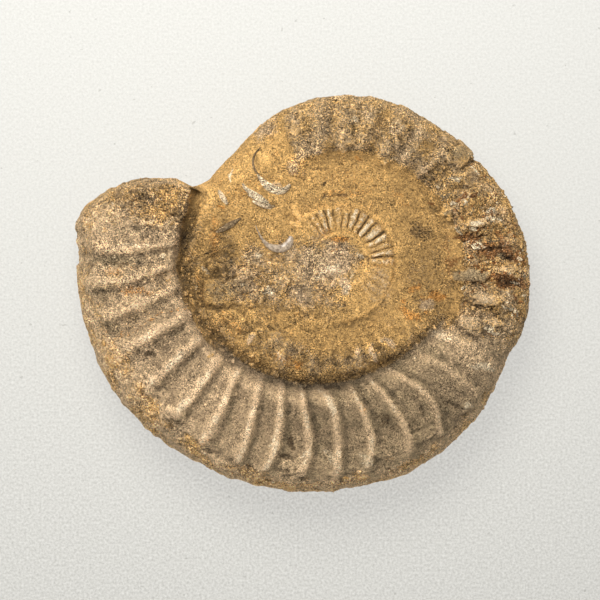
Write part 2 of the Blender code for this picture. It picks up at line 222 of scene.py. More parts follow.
@dataclass(frozen=True)
class Scatter:
    """Seed points scattered in space, one in each cell, the same on every run."""

    cell: float
    seed: int
    crease: float = 1.6  # of pebbles: how narrow the creases between them are
    doming: float = 0.5  # of pebbles: how much lower they are away from their middle
    steepness: float = 1.5  # of pits' sides

    def nearest(self, points: Array) -> Nearest:
        """Finds the nearest seed points.

        Args:
            points: rows of x, y and z.

        Returns:
            What lies nearest to each row.
        """
        random = np.random.default_rng(self.seed)
        turned, _ = np.linalg.qr(random.normal(size=(3, 3)))
        places = points @ turned / self.cell
        order = np.tile(random.permutation(256), 2)
        spots = random.uniform(0, 1, (256, 3))
        cells = np.floor(places).astype(int)
        parts = places - cells
        first = np.full(len(places), np.inf)
        second = first.copy()
        offset = np.zeros_like(places)
        picks = np.zeros(len(places), dtype=int)
        for step in product((-1, 0, 1), repeat=3):
            at = (cells + step) & 255
            pick = order[order[order[at[:, 0]] + at[:, 1]] + at[:, 2]]
            away = parts - step - spots[pick]
            distance = np.linalg.norm(away, axis=1)
            nearer = distance < first
            second = np.where(nearer, first, np.minimum(second, distance))
            offset[nearer], picks[nearer] = away[nearer], pick[nearer]
            first = np.where(nearer, distance, first)
        return Nearest(first, second, offset, picks)

    def numbers(self, pick: Array, low: float, high: float, salt: int = 0) -> Array:
        """Gives each seed point a number of its own."""
        random = np.random.default_rng((self.seed, 7, salt))
        return random.uniform(low, high, 256)[pick]

    def chips(self, points: Array, tilt: float) -> Array:
        """Broken faces: each cell is a small plane with a height and a lean of its own.

        Args:
            points: rows of x, y and z.
            tilt: how much a plane may lean.

        Returns:
            Heights between about -1 and 1.
        """
        near = self.nearest(points)
        height = self.numbers(near.pick, -0.5, 0.5)
        for axis in range(3):
            height += near.offset[:, axis] * self.numbers(near.pick, -tilt, tilt, axis + 1)
        return height

    def pebbles(self, points: Array) -> Array:
        """Round-topped grains with creases between them, 0 in the creases and up to 1."""
        near = self.nearest(points)
        return smooth_step((near.second - near.distance) * self.crease) * (1 - self.doming * near.distance)

    def pits(self, points: Array, share: float, radius: float) -> Array:
        """Small round holes.

        Args:
            points: rows of x, y and z.
            share: how many of the cells have a hole.
            radius: the holes' radius, in cells.

        Returns:
            The holes, 0 outside them and 1 at their deepest.
        """
        near = self.nearest(points)
        holed = self.numbers(near.pick, 0, 1) < share
        wide = radius * self.numbers(near.pick, 0.5, 1, 1)
        return smooth_step(self.steepness * (1 - near.distance / wide)) * holed


@dataclass(frozen=True)
class Ribs:
    """The outer whorl's ribs at some points."""

    relief: Array  # 0 in the valleys and up to 1 on the crests
    past_crest: Array  # the share of the way to the next rib
    strength: Array
    least: float = 0.1  # the strength below which the wave fades

    @property
    def wave(self) -> Array:
        """The ribs at full strength, -0.5 in the valleys and 0.5 on the crests."""
        return self.relief / np.maximum(self.strength, self.least) - 0.5


@dataclass(frozen=True)
class Coil:
    """The outer whorl: its spiral, its edge, its thickness and its ribs."""

    centre: Pair = (12.83 * MM, 10.97 * MM)
    radius: float = 112.4 * MM  # at a bearing of 180
    quarter_growth: float = 1.138
    first_bearing: float = 150
    edge_softness: float = 0.8
    even_softness: float = 2.4  # where the edge is even
    even_edge: Window = (170, 185, 325, 335)
    worn_edge: Rows = (
        (150, 0.66), (151, 0.7), (155, 0.808), (160, 0.893), (165, 0.968), (170, 1.008), (175, 0.987),
        (180, 0.989), (187, 1.006), (197, 1.008), (208, 1.021), (222, 1.013), (235, 0.995), (250, 0.995),
        (262, 0.991), (280, 0.991), (291, 1.005), (303, 0.996), (313, 0.984), (320, 0.986), (330, 0.961),
        (336, 0.968), (341, 0.993), (352, 1.002), (366, 0.998), (380, 0.991), (392, 0.975), (396, 0.972),
        (397, 0.944), (399, 0.972), (420, 0.974), (429, 0.994), (447, 0.999), (458, 0.993), (468, 0.98),
        (478, 0.95), (490, 0.924), (500, 0.936), (504, 0.942), (507, 0.972), (509, 1.005), (510, 1.03),
    )
    whorl_thickness: float = 47.5 * MM  # at a bearing of 180
    thickness_growth: float = 1.08
    widest_height: float = 0.48
    flank_fall: float = 3 * MM
    edge_rounding: Rows = (
        (150, 9), (156, 14), (166, 15), (176, 18), (300, 18), (400, 15), (460, 13), (480, 14), (503, 12),
        (510, 9),
    )
    seam: Rows = (
        (150, 0.575), (158, 0.565), (168, 0.568), (180, 0.575), (210, 0.55), (240, 0.525), (270, 0.51),
        (295, 0.51), (320, 0.55), (340, 0.6), (470, 0.6), (510, 0.6),
    )
    wall_share: Rows = (
        (150, 0.08), (165, 0.09), (180, 0.12), (200, 0.15), (250, 0.18), (300, 0.2), (330, 0.24),
        (360, 0.36), (440, 0.36), (465, 0.26), (510, 0.16),
    )
    matrix_start: float = 461
    matrix_blend: float = 16
    rib_ratios: Triple = (0.6, 0.77, 0.92)
    # Each rib's bearing at those three ratios, and its strength.
    ribs: Rows = (
        (157, 157, 157, 0), (164, 166.5, 167, 0.35), (170, 174.5, 175, 0.75), (178.7, 182.8, 183.5, 0.85),
        (186.3, 190.8, 192, 0.85), (198, 200.3, 202, 1), (208, 211.3, 213, 1), (219.3, 222.4, 222.5, 1),
        (228, 232.3, 233.5, 1), (239.3, 243, 244.3, 1), (249, 252.3, 251.5, 1), (258, 262.7, 261.5, 1),
        (270.7, 272.3, 271.3, 1), (281, 283.3, 279.5, 0.9), (291.5, 295, 293, 0.9), (303, 307, 302.5, 0.85),
        (317, 319.5, 319, 0.7), (331, 331, 329, 0.5), (341, 341, 341, 0.45), (349, 349, 349, 0.5),
        (358.5, 358.5, 358.5, 0.5), (368, 368, 368, 0.5), (377.7, 377.7, 377.7, 0.55), (386, 386, 386, 0.4),
        (396, 396, 396, 0.4), (406.5, 406.5, 406.5, 0.5), (416, 416, 416, 0.55), (425.7, 425.7, 425.7, 0.55),
        (436.7, 436.7, 436.7, 0.5), (446, 446, 446, 0.35), (456, 456, 456, 0.35), (466, 466, 466, 0.2),
        (475, 475, 475, 0),
    )
    rib_reach: Pair = (0.52, 0.98)
    edge_rib_height: float = 1.6 * MM
    rib_steep_side: float = 0.3
    rib_rise_power: float = 2
    rib_round_start: float = 318
    rib_round_end: float = 340
    rib_fade_start: float = 0.89
    rib_fade_width: float = 0.07
    rib_on_edge: float = 0.35

    def spiral_radius(self, bearing: Array) -> Array:
        """Radius of the unworn spiral."""
        return self.radius * self.quarter_growth ** ((180 - bearing) / 90)

    def edge_radius(self, bearing: Array) -> Array:
        """Radius of the stone's edge at each bearing.

        Args:
            bearing: the bearings.

        Returns:
            The radii.
        """
        softness = blend(self.edge_softness, self.even_softness, window(bearing, *self.even_edge))
        worn = sum(along(bearing + side * softness, self.worn_edge) for side in (-1, 0, 1)) / 3
        relief = self.ribs_at(bearing, np.ones_like(bearing)).relief
        ribs = self.edge_rib_height * (relief - 0.5 * self.rib_on_edge)
        return self.spiral_radius(bearing) * worn + ribs

    def thickness(self, bearing: Array) -> Array:
        """Height of the outer whorl's upper flank."""
        return self.whorl_thickness * self.thickness_growth ** ((180 - bearing) / 90)

    def ribs_at(self, bearing: Array, ratio: Array) -> Ribs:
        """Saw-toothed ribs, which bend along their length and wear to waves further round.

        Args:
            bearing: bearings of the points.
            ratio: their ratios.

        Returns:
            The ribs there.
        """
        rows = np.array(self.ribs)
        inner_lean = np.interp(bearing, rows[:, 1], rows[:, 0] - rows[:, 1])
        outer_lean = np.interp(bearing, rows[:, 1], rows[:, 2] - rows[:, 1])
        inner, middle, outer = self.rib_ratios
        reach = np.clip(ratio, *self.rib_reach)
        bend_in = (reach - middle) * (reach - outer) / ((inner - middle) * (inner - outer))
        bend_out = (reach - middle) * (reach - inner) / ((outer - middle) * (outer - inner))
        straightened = bearing - inner_lean * bend_in - outer_lean * bend_out
        place = np.interp(straightened, rows[:, 1], np.arange(len(rows)))
        past_crest = place - np.floor(place)
        falling = 1 - smooth_step(past_crest / self.rib_steep_side)
        uphill = np.clip((past_crest - self.rib_steep_side) / (1 - self.rib_steep_side), 0, 1)
        toothed = np.maximum(falling, smooth_step(uphill ** self.rib_rise_power))
        wavy = 0.5 + 0.5 * np.cos(past_crest * 2 * np.pi)
        worn = smooth_step((bearing - self.rib_round_start) / (self.rib_round_end - self.rib_round_start))
        strength = np.interp(straightened, rows[:, 1], rows[:, 3])
        fade = blend(1, self.rib_on_edge, smooth_step((ratio - self.rib_fade_start) / self.rib_fade_width))
        return Ribs(blend(toothed, wavy, worn) * strength * fade, past_crest, strength)

    def placed(self, bearing: Array, radius: Array) -> tuple[Array, Array, Array]:
        """Says where points lie on the whorl.

        Args:
            bearing: bearings of the points.
            radius: their distance from the middle of the coil.

        Returns:
            Their ratios, how far up the whorl they are, 0 at the seam and 1 at the edge, and the whorl's
            share of the surface there, 0 where the filling or the matrix covers it.
        """
        ratio, seam = radius / self.spiral_radius(bearing), along(bearing, self.seam)
        climbed = (ratio - seam) / (1 - seam)
        bare = 1 - smooth_step((bearing - self.matrix_start) / self.matrix_blend)
        return ratio, climbed, smooth_step(climbed / along(bearing, self.wall_share)) * bare


@dataclass(frozen=True)
class Filling:
    """What fills the umbilicus: a shallow dish, the next whorl in, and the small inner coil."""

    coil: Coil
    floor: float = 28.6 * MM
    depth: float = 7 * MM
    radius: float = 38 * MM
    lean: Pair = (-0.012, -0.04)
    ridge_height: float = 3.4 * MM
    ridge_inner: float = 0.26
    ridge_inner_width: float = 0.14
    ridge_outer_width: float = 0.07
    ridge_window: Window = (186, 215, 308, 345)
    ridge_rib_height: float = 0.4 * MM
    ridge_rib_first: float = 221
    ridge_rib_spacing: float = 9.3
    disc_centre: Pair = (1.9 * MM, 1.5 * MM)  # from the middle of the coil
    disc_radius: float = 26.4 * MM
    disc_step: float = 2.2 * MM
    disc_height: float = 1.8 * MM
    disc_window: Window = (255, 300, 480, 496)
    rib_centre: Pair = (3.9 * MM, 3.4 * MM)  # from the middle of the coil
    rib_radii: Window = (12.6 * MM, 14.8 * MM, 22.4 * MM, 24.2 * MM)
    rib_turns: Window = (-70, -56, 127, 140)
    first_turn: float = -100
    ragged_ends: float = 1.1 * MM
    ragged_sides: float = 1.7  # degrees
    end_noise: Noise = Noise(2.8 * MM, 75, 2)
    side_noise: Noise = Noise(3.4 * MM, 76, 2)
    rib_bluntness: float = 0.9
    rib_least: float = 0.2
    # Turn of each groove, seen from the middle of the ribs, and how deep it is.
    rib_grooves: Rows = (
        (-67, 0.1), (-55, 0.2), (-44, 0.3), (-33, 0.25), (-21, 0.3), (-8, 0.3), (4.8, 0.9), (14.4, 0.6),
        (22.5, 0.45), (33, 1), (46.6, 0.8), (57, 0.95), (68, 0.85), (78.5, 0.7), (87.5, 0.4), (97.5, 0.5),
        (108, 0.8), (117.8, 0.6), (127, 0.5), (136, 0.3),
    )

    def dish(self, x: Array, y: Array, radius: Array) -> Array:
        """Height of the filling before anything shows on it."""
        bowl = self.floor + self.depth * (1 - np.exp(-(radius / self.radius) ** 2))
        return bowl + self.lean[0] * x + self.lean[1] * y

    def ridge(self, bearing: Array, ratio: Array) -> Array:
        """The next whorl in, with its low ribs.

        Args:
            bearing: bearings of the points.
            ratio: their ratios.

        Returns:
            How far it stands up.
        """
        inner_side = smooth_step((ratio - self.ridge_inner) / self.ridge_inner_width)
        outer_side = smooth_step((along(bearing, self.coil.seam) - ratio) / self.ridge_outer_width)
        wave = np.cos((bearing - self.ridge_rib_first) / self.ridge_rib_spacing * 2 * np.pi)
        height = (self.ridge_height + self.ridge_rib_height * wave * inner_side) * inner_side * outer_side
        return height * window(bearing, *self.ridge_window)

    def from_ribs(self, x: Array, y: Array) -> tuple[Array, Array]:
        """Distance from the middle of the inner coil's ribs, and the turn round it in degrees."""
        x, y = x - self.rib_centre[0], y - self.rib_centre[1]
        turn = np.degrees(np.arctan2(y, x))
        return np.hypot(x, y), np.where(turn < self.first_turn, turn + TURN, turn)

    def small_ribs(self, x: Array, y: Array) -> tuple[Array, Array]:
        """The inner coil's ribs.

        Args:
            x: places from the middle of the coil.
            y: the same, the other way.

        Returns:
            The ribs' roundness, 0 between them and 1 on their crests, and how clearly they show.
        """
        away, turn = self.from_ribs(x, y)
        places = np.stack((x, y, np.zeros_like(x)), axis=1)
        away = away + self.ragged_ends * self.end_noise.at(places)
        turn = turn + self.ragged_sides * self.side_noise.at(places)
        rows = np.array(self.rib_grooves)
        place = np.interp(turn, rows[:, 0], np.arange(len(rows)))
        strength = blend(self.rib_least, 1, np.interp(turn, rows[:, 0], rows[:, 1]))
        shown = window(away, *self.rib_radii) * window(turn, *self.rib_turns)
        return np.sin(np.pi * (place - np.floor(place))) ** self.rib_bluntness, shown * strength

    def inner_coil(self, x: Array, y: Array, bearing: Array) -> Array:
        """The inner coil's disc.

        Args:
            x: places from the middle of the coil.
            y: the same, the other way.
            bearing: their bearings.

        Returns:
            How far it stands up.
        """
        away = np.hypot(x - self.disc_centre[0], y - self.disc_centre[1])
        outside = smooth_step((away - self.disc_radius) / self.disc_step + 1)
        return self.disc_height * (1 - outside * window(bearing, *self.disc_window))


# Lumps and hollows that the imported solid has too: x and y from the middle of the coil, half length,
# half width, turn and height, in mm and degrees.
LUMPS = (
    (-16.3, 43.8, 4.5, 5.5, 0, 2.6), (-31.7, 31.1, 9.5, 3, -36, 1.6), (-26, 27.6, 3.5, 1.8, 0, -1),
    (-47.5, 30.2, 4, 2, -70, 1), (-44.8, 18.8, 6.6, 2, 27, 1.3), (-48.3, 2.6, 7.5, 4.5, 10, -1.3),
    (-41, -9, 9, 7, 30, 1.2), (61.4, -24.8, 6, 4.2, 0, 2), (73, 6, 6, 4.5, 80, -1.2),
    (60.3, -3.2, 9, 4, 0, 1), (55.9, 50.3, 7, 5.5, 42, 1.6), (68.9, 8.1, 4, 3, 0, -1.6),
    (80, -14, 5, 4, 70, -1.3), (79.5, 18, 5, 3.5, 60, -1.2), (11, 4.5, 4, 3.5, 0, 1.2),
    (18, 52, 8, 5, 10, -1), (2, 62, 7, 5, 80, 1.3), (62, 34, 8, 5, 35, 1.4), (42, 58, 7, 4, 50, -1.2),
    (-66, 36, 6, 5, 0, 1.3), (-86, 30, 8, 5, 20, -1.2), (-20, -3, 12, 8, 20, 0.8), (5, -13, 6, 3, -60, 0.9),
    (-52, -66, 7, 4, 40, 0.8),
)

# Marks of each colour: x and y from the middle of the coil, half length, half width, turn and relief, in mm
# and degrees, and how strong the colour is.
MARKS: dict[Tint, Rows] = {
    Tint.DARK: (
        # Painted shadow: the first four dark lines lie along the lower and right edges of the two largest left-hand
        # slabs, the sides away from the lamp; their relief also cuts a shallow groove.
        (-50, -1.6, 5, 0.8, 12, -0.4, 0.8), (-44, 3, 0.8, 3.4, 10, -0.4, 0.7),
        (-47, -17.6, 8, 0.9, -8, -0.4, 0.7), (-38.5, -12, 0.8, 4, 0, -0.4, 0.7),
        (-92, 2, 14, 2.2, -4, -0.3, 0.5), (-96, -28, 6, 3, -25, -0.3, 0.6),
        (-4, -51, 24, 2.4, -3, -0.2, 0.6), (-101, -11, 4, 2.4, 0, -0.3, 0.6),
        (39, 16, 7, 4.5, -35, -0.3, 0.9), (46, 4, 4, 9, 0, -0.2, 0.6), (-17.4, -76.1, 4.6, 1.9, 85, -0.5, 1),
        # Painted shade: (-62.5, 35), (-69.4, 33.7), (-67.6, 23.2), (-64.1, 11.8) and (-61.5, -3.6) darken the foot of
        # the left-hand wall where the whorl steps down to the matrix; most also cut a groove.
        (-62.5, 35, 2.4, 5, 5, 0, 0.15), (-69.4, 33.7, 7.3, 2.6, -23, -0.8, 0.8),
        (-90, 33.3, 11.7, 2.2, 15, -0.3, 0.5), (-67.6, 23.2, 5.7, 2.2, -6, -0.8, 0.8),
        (-64.1, 11.8, 7.8, 2, -82, -0.8, 0.8), (-61.5, -3.6, 10, 1.8, -79, -0.8, 0.6),
        (-78.6, -37.3, 3.3, 1.8, -11, -0.8, 0.9), (-104.9, -15, 3.2, 0.9, -81, -0.6, 0.8),
        (-40, -3.6, 4.6, 2, -50, -0.5, 0.6), (-0.5, 70.1, 3.5, 2.2, -53, 0.4, 0.8),
        (-4.5, 43.4, 3.3, 1.1, -9, -0.6, 0.8), (30.2, 56.5, 3.5, 1.5, -59, -0.8, 0.6),
        (43.3, 41.6, 7.3, 1.8, 39, -0.8, 0.5), (43.8, 26.7, 4.6, 2, -40, -0.6, 0.6),
        (43.8, 14.4, 5.5, 2.2, -32, -0.4, 0.5), (-3.2, 36.4, 1.6, 0.9, 60, -0.3, 1.6),
        (70.5, 8.3, 8.5, 1.5, 6, -1.2, 1.1), (76.7, 4.8, 5.2, 2.2, -9, -0.8, 0.9),
        (77.1, -6.2, 8.3, 1.5, -12, -0.7, 0.85), (66, -17.5, 7, 0.8, -8, -0.5, 0.7),
        (72, -21.5, 6, 0.7, -14, -0.5, 0.8), (68, 14.5, 6, 0.8, 4, -0.5, 0.8),
        (62, 1.2, 7, 0.6, 0, -0.4, 0.8), (62, -7.4, 7, 0.6, -4, -0.4, 0.8),
        (65.5, -24.6, 3.6, 1.5, -85, -1, 0.8), (11.5, 4.3, 4.4, 2.6, 21, 0.3, 0.9),
        (-15.9, -49.6, 15.8, 1.3, -5, -0.5, 0.7), (-47.9, -32.1, 12.6, 1.3, -51, -0.5, 0.6),
        (10, -50, 8.2, 1.1, 7, -0.4, 0.5), (-69.4, -66.3, 6.1, 1.3, -5, -0.8, 0.6),
        (-54.9, -84.7, 4, 1.1, -23, -0.8, 0.8), (-20.3, -81.6, 4.7, 1.8, -14, -0.6, 0.8),
        (-16.5, -78.6, 1.3, 0.9, -34, -0.5, 1), (24.9, -67, 6.6, 3.6, -50, -0.6, 0.85),
        (52.1, -58.8, 6.7, 2, -29, -0.8, 0.7), (39.6, -61.9, 3.9, 1.1, -70, -0.6, 0.9),
        (-13.2, -92.1, 2.9, 1.5, -27, -0.8, 0.7), (14.8, -75.9, 4.6, 0.4, 0, -0.4, 0.8),
        (23.2, -74.6, 4.4, 0.4, 18, -0.4, 0.8), (58.7, -64.1, 6.7, 1.3, 27, -0.5, 0.5),
        (5.9, -15.9, 3.2, 1.7, 97, -0.4, 0.75), (15.9, 3.7, 3.2, 0.8, -58, -0.6, 1),
        (8.1, 12.8, 2.6, 1.6, 20, -0.4, 0.7), (6.5, 8.9, 3, 0.5, -50, -0.4, 0.8),
        (6.5, 25.8, 3, 0.4, 5, -0.3, 0.8), (1, 28.7, 2.4, 0.4, -45, -0.3, 0.7),
        (20.5, 14.5, 3, 1.2, 33, -0.5, 0.9), (16.5, 17, 2.6, 0.6, 46, -0.4, 0.7),
        (-4, -8, 5, 1.4, -10, -0.3, 0.6), (-14, 3, 5, 1.6, -60, -0.4, 0.6),
        (-5, 7.5, 4.5, 0.6, 50, -0.3, 0.9), (-8.5, 3, 5, 0.6, 60, -0.3, 0.9),
        # Painted shadow: (-46, -17.2) and (-36, -3) also darken slab edges that face away from the lamp.
        (-57, -12, 14, 0.7, -70, -0.8, 1), (-46, -17.2, 8, 0.5, -8, -0.5, 0.8),
        (-54, 6.6, 4, 0.6, 20, -0.6, 1.1), (-36, -3, 5, 0.6, -70, -0.6, 1),
        (-26, -26, 9, 0.6, -20, -0.6, 0.9), (0, 31.5, 14, 0.45, 8, -0.4, 1),
        (44, 40, 10, 0.6, -50, -0.6, 0.9),
    ),
    Tint.PALE: (
        (12.6, 5.6, 2.8, 1.2, -45, 0.5, 0.7), (-13, 6, 2.4, 1, 20, 0.3, 0.5), (-8, -4, 2, 1, 60, 0.3, 0.5),
        (-86.9, 10, 17.3, 1.1, -2, 0.3, 0.5), (-32.1, 5.7, 2.4, 1.8, -18, 0.2, 0.7),
        (-28.2, -10.1, 4.6, 1.8, -7, 0.2, 0.7), (1.2, 0, 4.9, 3.1, 0, 0.2, 0.6),
        (-4, -3, 6, 1.8, 25, 0.2, 0.5), (9, -3, 3.4, 1.6, 60, 0.2, 0.5), (6.5, -8, 3, 1.2, 10, 0.2, 0.55),
        (6.7, -10.1, 3.1, 1.5, -84, 0.1, 0.6), (10.4, 64.4, 3.4, 1.8, -68, 0.3, 0.6),
        (24.9, 46.9, 5.3, 2, 18, 0.8, 0.4), (33.7, 50.4, 3.5, 1.5, 31, 0.8, 0.4),
        (29.3, 64, 4, 2.2, -81, 0.6, 0.4), (54.5, 39, 1.7, 0.9, -22, 0.3, 0.9),
        (63.1, 19.7, 3.3, 1.1, 9, 0.3, 0.9), (72.3, 20.8, 2.3, 0.9, -7, 0.3, 0.9),
        (63.1, 10.3, 2.4, 0.9, 21, 0.3, 0.8), (67, -13.6, 3.9, 1.1, -8, 0.4, 0.45),
        (78, -17.6, 5.1, 0.9, -17, 0.4, 0.9), (67.9, -25.5, 3.3, 1.5, -22, 0.4, 0.8),
        (70.1, -28.1, 4.1, 0.9, -14, 0.3, 0.8), (48.2, -29.4, 8.4, 3.5, -12, 0.5, 0.5),
        (65.7, -43, 7, 2.9, -9, 0.5, 0.6), (59.6, -59.7, 2.9, 2, 0, 0.6, 0.6),
        (-0.5, -82.5, 7.5, 2.6, -48, 0.2, 0.5), (15.3, -83.8, 6.2, 3.1, -45, 0.2, 0.5),
        (-25.5, -74.6, 4.6, 0.4, 53, 0.15, 0.9), (-11.5, -81.6, 2.7, 0.4, 45, 0.15, 0.8),
        (-10.4, -82.9, 3.2, 0.4, 48, 0.15, 0.7), (-44.2, 40.3, 4, 0.7, 79, 0.2, 0.8),
        (-55.4, -0.5, 4.7, 1.1, -49, 0.5, 0.6),
    ),
    Tint.PINK: (
        (1.5, 0, 8, 3.6, 10, 0, 0.9), (6, -8, 2.6, 4.4, 10, 0, 0.9), (-10, 8, 6, 3, 0, 0, 0.6),
        (41.5, -15.5, 4.5, 3.5, -10, 0.3, 0.7), (-24, 36, 4, 2, -20, 0.3, 0.6), (24, -8, 3, 8, 20, 0, 0.4),
        (-68.9, -62.3, 5, 1.5, -13, 0.5, 0.7), (18.1, -37.8, 5.4, 1.5, -76, 0.6, 0.9),
        (11.1, -36, 2.6, 1.3, -83, 0.4, 0.7), (-35.2, -30.7, 4, 1.3, 56, 0.4, 0.9),
        (-22, -38.6, 2.9, 1.5, -63, 0.5, 1), (25.4, -32.5, 4.2, 1.8, -34, 0.3, 0.7),
        (48.2, -72, 4.7, 2.6, -34, 0.5, 0.7), (48.2, -29.4, 8.6, 3.9, -12, 0, 0.5),
    ),
    Tint.ORANGE: (
        (-88, 1, 8, 2, -10, 0, 0.4), (-92, -30, 8, 2, 30, 0, 0.5), (8, 33, 16, 3, 6, 0, 0.5),
        (-44, -24, 4, 10, 40, 0, 0.5), (30, 30, 8, 3, -40, 0, 0.5), (34, -20, 7, 3, -30, 0, 0.8),
        (46, -12, 5, 2.4, -20, 0, 0.9), (36, -9, 4, 2, 30, 0, 0.8), (-51, 14, 3, 13, 0, 0, 0.6),
        (-38, 34, 14, 6, 35, 0, 0.45), (6, 40, 20, 5, -5, 0, 0.4), (-20, -40, 12, 3, -20, 0, 0.5),
        (-15, -42.6, 3.2, 1.8, -37, 0.2, 0.9), (13.5, -61.2, 3.6, 1.7, -60, 0.1, 0.45),
        (31.9, -14.5, 3, 1.3, -11, 0.2, 0.8), (41.6, -19.3, 2.2, 1.3, -18, 0.2, 0.8),
        (41.1, -12.8, 3.7, 1.8, -9, 0.2, 0.6), (3.9, 12.7, 5.9, 1.8, -5, 0, 0.8),
        (-57.1, -6.2, 9.4, 2.2, -77, 0, 0.5), (-94.8, -0.9, 6, 2.6, 0, 0.2, 0.5),
        (-84.7, -10.1, 10.2, 3.1, -3, 0.2, 0.6), (11.8, 47.8, 2.4, 1.8, -18, 0.1, 0.7),
        (-84.3, -26.8, 2.5, 0.4, 37, 0.1, 0.9), (-77.3, -21.8, 6.7, 0.4, 35, 0.1, 0.9),
        (-66.8, -17.8, 5.5, 0.4, 2, 0.1, 0.9), (-56.7, -75.5, 5.8, 3.1, 0, 0.2, 0.5),
        (25.8, -82.5, 3.5, 2.2, 0, 0.3, 0.4), (-47.9, 26.7, 2, 1.1, 0, 0, 1),
    ),
    Tint.GREY: (
        (-92, 3, 16, 3.4, -4, 0, 0.7), (-95, -27, 8, 4.4, -25, 0, 0.6), (-100, -11, 5, 4, 0, 0, 0.6),
        (24, -65.5, 7, 4.6, -50, 0, 0.9), (-19, -74, 8, 3, 80, 0, 0.7), (-64.5, 34.5, 3, 5.5, 5, 0, 0.4),
        (-95.7, 22.3, 6, 2.6, -6, 0, 0.6), (-88.2, 16.6, 12.2, 2, 5, -0.2, 0.5),
        (60.4, -3.1, 9.4, 2.6, 0, 0.2, 1.1), (72.7, 5.2, 5.1, 2.6, 0, -0.2, 0.8),
        (55.6, 50, 7.8, 3.1, -17, 0.4, 0.8), (-45.7, 3.9, 6.7, 3.5, -17, 0.7, 0.6),
        (-48.3, -10.6, 10.5, 5.7, -7, 0.8, 0.6), (44.2, -45.2, 10.5, 3.5, -28, -0.2, 0.6),
        (70.5, -36.9, 7.3, 3.1, -29, 0, 0.5), (-15.4, 42.9, 6.4, 3.9, -41, 0.6, 0.3),
        (-10.2, 64.4, 9.3, 3.9, -18, 0.2, 0.5), (-6.7, 4.8, 8.3, 3.5, -51, 0, 0.6),
        (49.7, 25, 2.3, 1.3, 0, 0, 0.9), (49.5, -33.4, 4.4, 2.6, -39, -0.2, 0.6),
    ),
    Tint.OCHRE: (
        (-27.6, 46.4, 5.2, 6, 20, 2.2, 0.9), (-25.4, 14.8, 5.2, 4.8, -20, 1.6, 0.95),
        (-13, 23, 5, 4, 0, 0.4, 0.8), (-4.4, 25.4, 4, 2, 10, 0.2, 0.7),
    ),
    Tint.RUST: (
        (50.8, 5.2, 16.1, 2, -87, 0, 0.5), (64.8, 17.1, 5.4, 1.3, 17, 0, 0.7),
        (73.6, 14.4, 4, 1.8, -27, 0, 0.8), (70.5, 8.3, 10.5, 3.4, 5, -0.6, 1),
        (78.9, 5.2, 5.3, 3, -34, -0.4, 0.9), (76.7, -5.7, 10.9, 3.4, -12, -0.8, 1),
        (60, 13, 9, 2.4, -8, -0.3, 0.8), (53, 2, 6, 1.6, 40, -0.3, 0.7), (70.1, -28.6, 4.2, 1.1, -7, 0, 0.7),
    ),
}

# Broken slabs with steep sides: x, y, half length, half width, turn and height, in mm and degrees.
SLABS = (
    (-49.5, 3, 5, 3.6, 12, 1.9), (-48, -10.5, 8, 6.2, -8, 2.1), (-40, -3.5, 3.2, 4.2, -30, 1.2),
    (-35, -13, 5, 3.4, 20, 1.2), (-29.5, 1.5, 4.5, 3, -15, 0.6), (-24, -9, 5.5, 3.2, 10, 0.5),
    (-42, -22, 6, 2.6, -40, 0.9), (-15, -15, 6, 3, -20, 0.5), (-8, -24, 8, 2.4, 8, 0.6),
    (60.4, -3.1, 9.4, 2.6, -2, 1), (67, -14, 5.5, 2.2, -10, 1.2), (61.5, -24.5, 6, 4, -10, 1.6),
    (72, -24, 5, 1.8, -20, 1), (63, 19.5, 5, 2.2, 8, 1), (72.5, 20.5, 3.4, 1.6, -8, 0.8),
    (56, 50, 6.6, 4.4, 40, 1.2), (78, -1, 4, 2.6, 0, 0.9), (50, 25, 3.4, 2.4, 20, 0.8),
    (-80, 33, 5, 3, 20, 1.2), (-68, 28, 4, 3, -30, 1.2), (-92, 26, 5, 3, 40, 1), (-88, -14, 5, 2.6, 10, 0.6),
    (-52, -84, 6, 3, -30, 0.9), (-16, -86, 7, 3, -10, 0.8), (40, -72, 6, 3, 20, 0.8),
    (22, -80, 5, 2.6, 10, 0.7), (-68, -64, 6, 3.4, -40, 0.9), (-14, 64, 7, 3, 60, 0.8),
    (6, 56, 3, 6, -5, 0.7), (30, 58, 3, 6, -25, 0.8),
)
